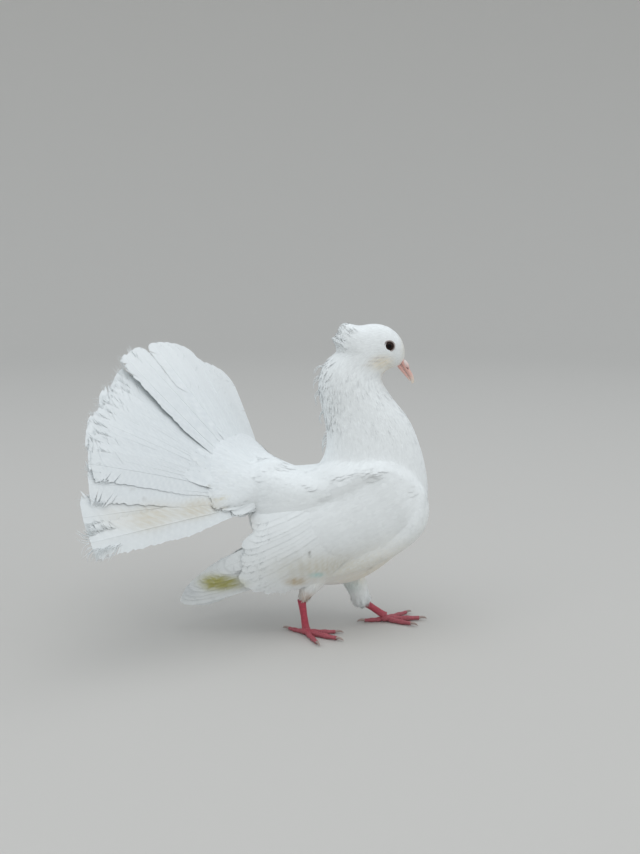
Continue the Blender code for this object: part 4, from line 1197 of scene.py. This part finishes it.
def add_curled_tip(batch, quill, island):
    """Long barbs that have come loose at the lowest feather's tip and curl out and down."""
    t = np.linspace(0, 1, 9)
    for share in np.linspace(0.84, 1, CURLED_BARBS):
        long = rng.uniform(9, 16)
        reach = quill.half_width * quill.fullness(share)
        for sign in (-1, 1):
            spin = rng.uniform(0.5, 1.5)
            x = share * quill.length + 3 + long * np.sin(t * spin) / spin * 0.8
            y = sign * (reach * 0.5 + long * (1 - np.cos(t * spin)) / spin * 0.9) + rng.normal(0, 0.8)
            path = quill.place(x - 4, y, rng.uniform(-1, 5) * t ** 1.5)
            add_strand(batch, path, 0.4, quill.patch(island, x[0], y[0]))


def make_tail():
    """The fan: every feather's edge lies over the next, from the bird's left down to its right."""
    vanes, shafts, barbs = Batch(), Batch(), Batch()
    strips = islands(sum(lobe[2] for lobe in TAIL_LOBES))
    number = 0
    for first, last, count, half_width, height, rise, bow, roof in TAIL_LOBES:
        for turn in np.linspace(first, last, count):
            ray = ray_of(math.radians(turn))
            edge, loose, size = FRAYED if turn > FRAYED_FROM else NEAT
            reach = table(TAIL_REACH, turn)
            if turn > FRAYED_FROM and count > 1:
                reach += rng.uniform(-8, 3)
            number += 1
            quill = Quill(tail_point, ray * QUILL_FROM, ray * reach, half_width, number, lift=height,
                          rise=rise, bow=bow + rng.uniform(-1.5, 1.5), roof=roof, **TAIL_QUILL, **edge)
            island = next(strips)
            quill.add(vanes, shafts, island)
            quill.fringes(barbs, 0.82, loose, size, island)
    add_curled_tip(barbs, quill, island)
    vanes.piece("tail_vanes", vane_material, "white_feather")
    shafts.piece("tail_shafts", shaft_material, "white_feather")
    barbs.piece("tail_barbs", plumage, "white_feather")


def make_tail_coverts():
    """Short feathers over and under the root of the fan, each tier over the one before."""
    upper, under = Batch(), Batch()
    for number, (count, start, end, half_width, height, change) in enumerate(UPPER_COVERTS + UNDER_COVERTS):
        coverts = upper if number < len(UPPER_COVERTS) else under
        strips = islands(count)
        for index in range(count):
            place = index + rng.uniform(-0.3, 0.3)
            turn = COVERT_TURNS[0] + (COVERT_TURNS[1] - COVERT_TURNS[0]) * place / (count - 1)
            ray = ray_of(math.radians(turn))
            long = (end + rng.uniform(-26, 8)) * table(COVERT_LENGTHS, turn)
            quill = Quill(tail_point, ray * start, ray * max(long, start + 18), half_width,
                          COVERT_SEED + number * TIER_SEEDS + index, lift=height + rng.uniform(-0.2, 0.2),
                          rise=change, tilt=rng.uniform(-0.02, 0.02), **COVERT_QUILL)
            island = next(strips)
            quill.add(coverts, None, island)
            quill.fringes(coverts, 0.6, 8, 2.5, island)
    upper.piece("tail_coverts_upper", plumage, "white_feather")
    under.piece("tail_coverts_under", plumage, "white_feather")


# How far the wing feathers' roots are sunk into the flesh
ROOT_SINK = 2.6
# Wing feathers: count, low and high root, tips from low to high, half width, height, slope, barbs
WING_TIERS = (
    (10, (78, -18), (78, 4), ((219, -2), (211, 4), (198, 8), (185, 10.5), (171, 10)),
     7.5, -6.4, -0.04, 50),
    (19, (70, -17), (66, 32), ((126, -30.5), (144, -26), (157, -18), (164, -8),
                                       (163, 3), (154, 14), (143, 23), (134, 33)),
     6.4, -4.8, -0.05, 46),
)


def make_wings():
    """The flight feathers in two tiers, from the lowest to the highest."""
    for side in SIGNS:
        vanes, shafts, barbs = Batch(), Batch(), Batch()
        strips = islands(sum(tier[0] for tier in WING_TIERS))
        for number, (count, low_root, high_root, tips, half, height, tilt, lines) in enumerate(WING_TIERS):
            outline = smooth_rows(tips, 8)
            for index in range(count):
                share = index / (count - 1)
                tip = outline[int(round(share * (len(outline) - 1)))]
                tip = tip + ((rng.uniform(-4, 3), rng.uniform(-1, 1)) if number else (0, 0))
                lift = height - ROOT_SINK - (count - 1 - index) * (0 if number else 0.5)
                quill = Quill(partial(wing_point, side), mixed(low_root, high_root, share), tip, half,
                              WING_SEED + number * TIER_SEEDS + index, lift=lift, rise=ROOT_SINK,
                              ease=0.8, tilt=tilt, barbs=lines, slits=0.8, gap=1.2, bow=2 * (share - 0.5),
                              ragged=0.05 if number else 0.02, tip_from=0.5 if number else 0.72)
                island = next(strips)
                quill.add(vanes, shafts if number == 0 else None, island)
                quill.fringes(barbs, 0.75, 14 if number else 3, 3.5, island)
        vanes.piece("wing_vanes_" + side, vane_material, "white_feather")
        shafts.piece("wing_shafts_" + side, shaft_material, "white_feather")
        barbs.piece("wing_barbs_" + side, plumage, "white_feather")


# Crest's free edge from low to high: how far forward and how high its tips are
CREST_STEPS = ((12.5, 230.5), (11.2, 235.4), (8, 240), (11.6, 241.6), (11.4, 243), (14.2, 246.2),
               (14, 247.6), (17.2, 252.6))
CREST_TIPS = 620
# Heights of the loose barbs on the nape
NAPE_BARBS = (221, 209, 196, 180, 162, 157)


def make_crest(skin):
    """The crest's free edge: feathers along both sides of the hood, which end in steps behind it."""
    batch = Batch()
    level = rng.uniform(0, len(CREST_STEPS) - 1, CREST_TIPS)
    back, high = (np.interp(level, np.arange(len(CREST_STEPS)), column) for column in zip(*CREST_STEPS))
    sign = rng.choice((-1, 1), CREST_TIPS)
    spread = rng.uniform(0, 1, CREST_TIPS)
    short = rng.gamma(1.1, 0.7, CREST_TIPS)
    end = np.stack([back + 7 * spread ** 1.5 + short, sign * (0.4 + 10 * spread),
                    high - 3 * spread - 0.5 * short], 1)
    away = np.stack([6.5 + spread, sign * 3, np.full(CREST_TIPS, -3.5)], 1)
    root, out, _, uv = skin.near(end + away)
    side_out = sign[:, None] * (0, 1, 0) + (-0.25, 0, 0.35)
    outs = unit(np.stack([out, out + side_out * 0.3, side_out * (1, 0.3, 2.5)])
                + rng.normal(0, 0.03, (1, CREST_TIPS, 3)))
    middle = (root + end) / 2 + out * 0.7
    side = unit(np.cross(outs[1], end - root))
    add_leaves(batch, root - out * 0.3, middle, end, side, outs, rng.uniform(0.7, 1.3, CREST_TIPS), 0.2, uv,
               POINTED_ROWS, rng.normal(1, 0.015, CREST_TIPS), free=True)
    batch.piece("crest", plumage, "white_feather")


def make_nape_barbs(skin):
    """Single barbs that stand off the nape and hook down."""
    batch = Batch()
    t = np.linspace(0, 1, 8)[:, None]
    for height in NAPE_BARBS:
        for _ in range(5):
            place = (-6, rng.uniform(-5, 5), height + rng.uniform(-2, 2))
            root, out, flow, uv = (found[0] for found in skin.near([place]))
            long = rng.uniform(6, 10)
            path = root + out * long * 0.5 * np.sin(t * 2.2) + flow * long * t ** 1.4
            add_strand(batch, path, 0.42, uv)
    batch.piece("nape_barbs", plumage, "white_feather")


# The eye, and its lids as rings: distance from the axis, thickness and how far out from the centre
EYE_RADIUS = 4.85
LID_SIDES = 72
LID_TUBE = 8
LID_RINGS = ((3.75, 0.32, 3.35), (4.35, 0.42, 3.05))


def ball(rows, sides, cut):
    """Rings of a ball of radius 1, from its top to its bottom; cut is the angle its ends leave out."""
    angles = circle(sides)
    return np.array([np.column_stack([math.sin(polar) * np.cos(angles), math.sin(polar) * np.sin(angles),
                                      np.full(sides, math.cos(polar))])
                     for polar in np.linspace(cut, math.pi - cut, rows)])


def side_ball(rows, sides):
    """The same with its ends to the left and the right."""
    return ball(rows, sides, 0.06)[..., (0, 2, 1)] * (1, 1, -1)


def lid_colour(points):
    away = np.linalg.norm((points - EYE_AT) * (1, 0, 1), axis=1)
    away = np.minimum(np.abs(away - 3.7) / 0.9, 1)[:, None]
    return mixed((0.22, 0.17, 0.16), (0.62, 0.57, 0.55), away)


def make_eyes():
    for side, sign in SIGNS.items():
        centre = EYE_AT * (1, sign, 1)
        points, faces = loft(centre + EYE_RADIUS * side_ball(24, 40))
        batch = Batch()
        away = np.hypot(points[:, 0] - centre[0], points[:, 2] - centre[2]) / EYE_RADIUS
        batch.add(points, faces, lanes=np.column_stack([away, away]))
        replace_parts(batch.piece("eyeball_" + side, eye_material, "eye"), "eye_" + side)
        lids = Batch()
        angles = circle(LID_SIDES)
        turns = circle(LID_TUBE)
        bead = (1 + 0.16 * np.sin(angles * 18))[:, None]
        ray = np.stack([np.cos(angles), np.zeros(LID_SIDES), np.sin(angles)], 1)[:, None, :]
        faces = grid_faces(LID_SIDES, LID_TUBE, True)
        last = (LID_SIDES - 1) * LID_TUBE
        for turn in range(LID_TUBE):
            after = (turn + 1) % LID_TUBE
            faces.append((last + turn, last + after, after, turn))
        if sign > 0:
            faces = [face[::-1] for face in faces]
        for reach, thick, out in LID_RINGS:
            reach_here = reach + thick * np.cos(turns)[None, :] * bead
            outward = out + thick * np.sin(turns)[None, :] * bead - 0.4 * np.cos(angles)[:, None]
            lids.add(centre + ray * reach_here[..., None] + outward[..., None] * (0, sign, 0), faces)
        lids.piece("lids_" + side, lid_material, "white_feather", lid_colour)


BILL_BASE = (64.6, 219.6)
BILL_DROP = math.radians(56)
GAPE_HEIGHT = -0.9
BILL_UPPER = ((-3, 4.3, 0, 3.3), (2, 4.1, 0, 3.1), (6, 3.7, 0, 2.7), (10, 3.5, 0.1, 2.3),
              (13.5, 3.1, 0.3, 1.9), (16.5, 2.1, 0.8, 1.25), (18.6, 0.5, 1.5, 0.4))
BILL_LOWER = ((-3, 0, 3.1, 2.8), (2, 0, 3, 2.6), (7, 0, 2.4, 2.1),
              (11, -0.1, 1.9, 1.7), (14, -0.3, 1.5, 1.2), (15.8, -0.7, 1.2, 0.5))


def bill_point(along, up, sideways=0):
    x = BILL_BASE[0] + along * math.cos(BILL_DROP) + up * math.sin(BILL_DROP)
    z = BILL_BASE[1] - along * math.sin(BILL_DROP) + up * math.cos(BILL_DROP)
    return np.stack(np.broadcast_arrays(x, sideways, z), -1)


def bill_form(profile, gape):
    rings = []
    angles = circle(28)
    for along, top, bottom, half in smooth_rows(profile, 6):
        middle = gape + (top - bottom) / 2
        tall = (top + bottom) / 2
        rings.append(bill_point(along, middle + tall * np.sin(angles), half * np.cos(angles)))
    return loft(rings)


def bill_along(points):
    """How far along the bill each point is, from 0 at its root to 1 at its tip."""
    away = points[:, [0, 2]] - BILL_BASE
    return np.clip(away @ (math.cos(BILL_DROP), -math.sin(BILL_DROP)) / 18.5, 0, 1)


def bill_colour(points):
    share = bill_along(points)[:, None]
    pink = mixed((0.78, 0.44, 0.39), (0.80, 0.53, 0.46), share)
    return mixed(pink, (0.85, 0.74, 0.64), np.clip((share - 0.62) / 0.3, 0, 1))


def cere_colour(points):
    share = np.clip(bill_along(points) / 0.3, 0, 1)[:, None]
    return mixed((0.86, 0.77, 0.74), (0.80, 0.54, 0.50), share)


# The nostrils are dark all over: painted shade of their openings
def nostril_painted_shade(points):
    return np.tile((0.20, 0.08, 0.07), (len(points), 1))


def make_bill():
    for name, profile, gape in (("upper", BILL_UPPER, GAPE_HEIGHT), ("lower", BILL_LOWER, GAPE_HEIGHT - 0.3)):
        batch = Batch()
        batch.add(*bill_form(profile, gape))
        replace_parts(batch.piece("bill_horn_" + name, bill_material, "bill", bill_colour), "bill_" + name)
    cere, nostrils = Batch(), Batch()
    points, faces = loft(side_ball(20, 32))
    ripple = 1 + 0.05 * np.sin(points[:, 0] * 9) * points[:, 2]
    for sign in SIGNS.values():
        local = points * (4.1, 1.95, 1.7) * ripple[:, None]
        cere.add(bill_point(2.6 + local[:, 0], 2.5 + local[:, 2], sign * 1.5 + local[:, 1]), faces)
        local = points * (1.5, 0.35, 0.3)
        slope = 1.55 + local[:, 2] + 0.25 * local[:, 0]
        nostrils.add(bill_point(5.6 + local[:, 0], slope, sign * 2.55 + local[:, 1]), faces)
    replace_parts(cere.piece("cere_skin", cere_material, "cere", cere_colour), "cere")
    nostrils.piece("nostrils", nostril_material, "bill", nostril_painted_shade)


CRIMSON = (0.50, 0.060, 0.095)
DUSKY = (0.40, 0.13, 0.15)
HORN = (0.40, 0.31, 0.28)


def leg_colour(points):
    """Crimson, dusky towards the toes."""
    return mixed(CRIMSON, DUSKY, np.clip((11 - points[:, 2]) / 14, 0, 1)[:, None])


def claw_colour(points):
    return np.tile(HORN, (len(points), 1))


def scaly_limb(path, radii, sides, across, out, period, depth):
    """A limb whose face towards out carries overlapping scutes, each period millimetres long."""
    steps = np.append(0, np.cumsum(np.linalg.norm(np.diff(path, axis=0), axis=1)))
    places = np.linspace(0, steps[-1], max(12, int(steps[-1] / period * 6)))
    path = np.stack([np.interp(places, steps, path[:, axis]) for axis in range(3)], 1)
    rings = limb_rings(path, np.interp(places, steps, radii), sides, across)
    rays = unit(rings - rings.mean(1)[:, None])
    front = np.clip(rays @ np.array(out), 0, 1)[..., None]
    saw = ((places / period) % 1)[:, None, None]
    return rings + rays * depth * (saw - 0.5) * (0.2 + 0.8 * front)


def toe_form(base, ahead, sizes):
    places = np.array([base + ahead * sizes["length"] * share + (0, 0, rise)
                       for share, rise in ((0, 0.3), (0.3, -0.8), (0.65, -1), (1, -0.9))])
    path = smooth_rows(places, 10)
    share = np.linspace(0, 1, len(path))
    knuckles = 1 + 0.09 * np.cos(share * math.tau * TOE_JOINTS)
    radii = sizes["radius"] * np.interp(share, (0, 0.35, 0.7, 1), (1.15, 1, 0.92, 0.66)) * knuckles
    rings = scaly_limb(path, radii, 18, (0, 0, 1), (0, 0, 1), SCUTE, 0.34)
    rings[..., 2] = np.maximum(rings[..., 2], 0.02)
    return loft(rings), places[-1]


def claw_form(start, ahead):
    claw = np.array([start + ahead * CLAW_LENGTH * share + (0, 0, rise) for share, rise in
                     ((-0.1, 0.1), (0.35, 0.55), (0.75, 0.15), (1, -0.85))])
    claw = smooth_rows(claw, 6)
    radii = np.interp(np.linspace(0, 1, len(claw)), (0, 0.4, 0.75, 1), (1.15, 1, 0.62, 0.14))
    rings = limb_rings(claw, radii, 14, (0, 0, 1))
    rings[..., 2] = np.maximum(rings[..., 2], 0.02)
    return loft(rings)


def make_legs():
    for side, sign in SIGNS.items():
        leg = LEGS[side]
        heel = np.array(leg["heel"])
        ball_at = np.array(leg["ball"])
        shin = unit(ball_at - heel)
        batch = Batch()
        path = np.array([heel - shin * 3, heel + shin * 2, (heel + ball_at) / 2, ball_at - shin * 3, ball_at])
        path = smooth_rows(path, 8)
        radii = np.interp(np.linspace(0, 1, len(path)), (0, 0.2, 0.5, 0.85, 1), (3.4, 3.2, 2.7, 3.1, 3.6))
        front = np.append(ray_of(math.radians(leg["yaw"])), 0)
        batch.add(*loft(scaly_limb(path, radii, 22, (0, 1, 0), front, SCUTE, 0.45)))
        batch.add(*loft(ball(14, 20, 0.08) * (4.3, 4, 3.2) + (ball_at[0], ball_at[1], 3.2)))
        for toe, sizes in TOES.items():
            ahead = np.append(ray_of(math.radians(leg["yaw"] + sign * sizes["turn"])), 0)
            base = np.array((ball_at[0], ball_at[1], sizes["radius"] + 0.9))
            form, tip = toe_form(base, ahead, sizes)
            batch.add(*form)
            nail = Batch()
            nail.add(*claw_form(tip + ahead * 0.1, ahead))
            piece = nail.piece("nail_" + side + "_" + toe, claw_material, "claw", claw_colour)
            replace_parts(piece, "claw_" + side + "_" + toe)
        foot = batch.piece("leg_" + side, leg_material, "leg_skin", leg_colour)
        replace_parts(foot, "tarsus_" + side, "foot_" + side)


# The studio: a camera by its focal length and the photo's height, both in pixels
FOCAL = 1282
PHOTO_HEIGHT = 854
SENSOR = 36
CAMERA_AT = (0, -1010.41, 346.15)
CAMERA_TILT = math.radians(80)
SKY = (0.88, 0.94, 0.99, 1)
SKY_STRENGTH = 0.72
# Lamps: place in metres, size, power
SOFTBOXES = (((-0.4, -0.9, 2.3), 2.6, 22), ((0.9, 0.9, 1.9), 1.6, 3), ((1.5, -0.9, 0.8), 1.2, 3.5))
AIM = (0, 0, 0.12)
# A round floor that curves up all round: its colour, where the curve starts and its radius
FLOOR = (0.56, 0.545, 0.52)
COVE_FROM = 1.9
COVE = 1.1
FLOOR_SIDES = 72


def make_floor():
    turns = np.linspace(0, math.pi / 2, 14)
    profile = [(0.01, 0)]
    profile += [(COVE_FROM + COVE * math.sin(turn), COVE * (1 - math.cos(turn))) for turn in turns]
    points = [(reach * math.cos(turn), reach * math.sin(turn), high)
              for reach, high in profile for turn in circle(FLOOR_SIDES)]
    mesh = bpy.data.meshes.new("floor")
    faces = [face[::-1] for face in grid_faces(len(profile), FLOOR_SIDES, True)]
    mesh.from_pydata(points, [], faces + [tuple(range(FLOOR_SIDES))])
    mesh.shade_smooth()
    floor = new_object("floor", mesh)
    mesh.materials.append(shader("floor", FLOOR, 0.9))


def make_studio():
    lens = bpy.data.cameras.new("camera")
    lens.sensor_width = SENSOR
    lens.lens = SENSOR * FOCAL / PHOTO_HEIGHT
    camera = new_object("camera", lens)
    camera.location = world(CAMERA_AT)
    camera.rotation_euler = (CAMERA_TILT, 0, 0)
    scene = bpy.context.scene
    scene.camera = camera
    make_floor()
    scene.world = bpy.data.worlds.new("studio")
    scene.world.use_nodes = True
    light = scene.world.node_tree.nodes["Background"].inputs
    light["Color"].default_value = SKY
    light["Strength"].default_value = SKY_STRENGTH
    for place, size, power in SOFTBOXES:
        data = bpy.data.lights.new("softbox", "AREA")
        data.size = size
        data.energy = power
        lamp = new_object("softbox", data)
        lamp.location = place
        lamp.rotation_euler = (Vector(AIM) - Vector(place)).to_track_quat("-Z", "Y").to_euler()
    scene.view_settings.view_transform = "Standard"


skin = make_skin()
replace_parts(skin.piece, "torso", "neck", "head", "thigh_left", "thigh_right",
            "wing_left", "wing_right", "tail")
make_coat(skin)
make_tail()
make_tail_coverts()
make_wings()
make_crest(skin)
make_nape_barbs(skin)
make_eyes()
make_bill()
make_legs()
make_studio()
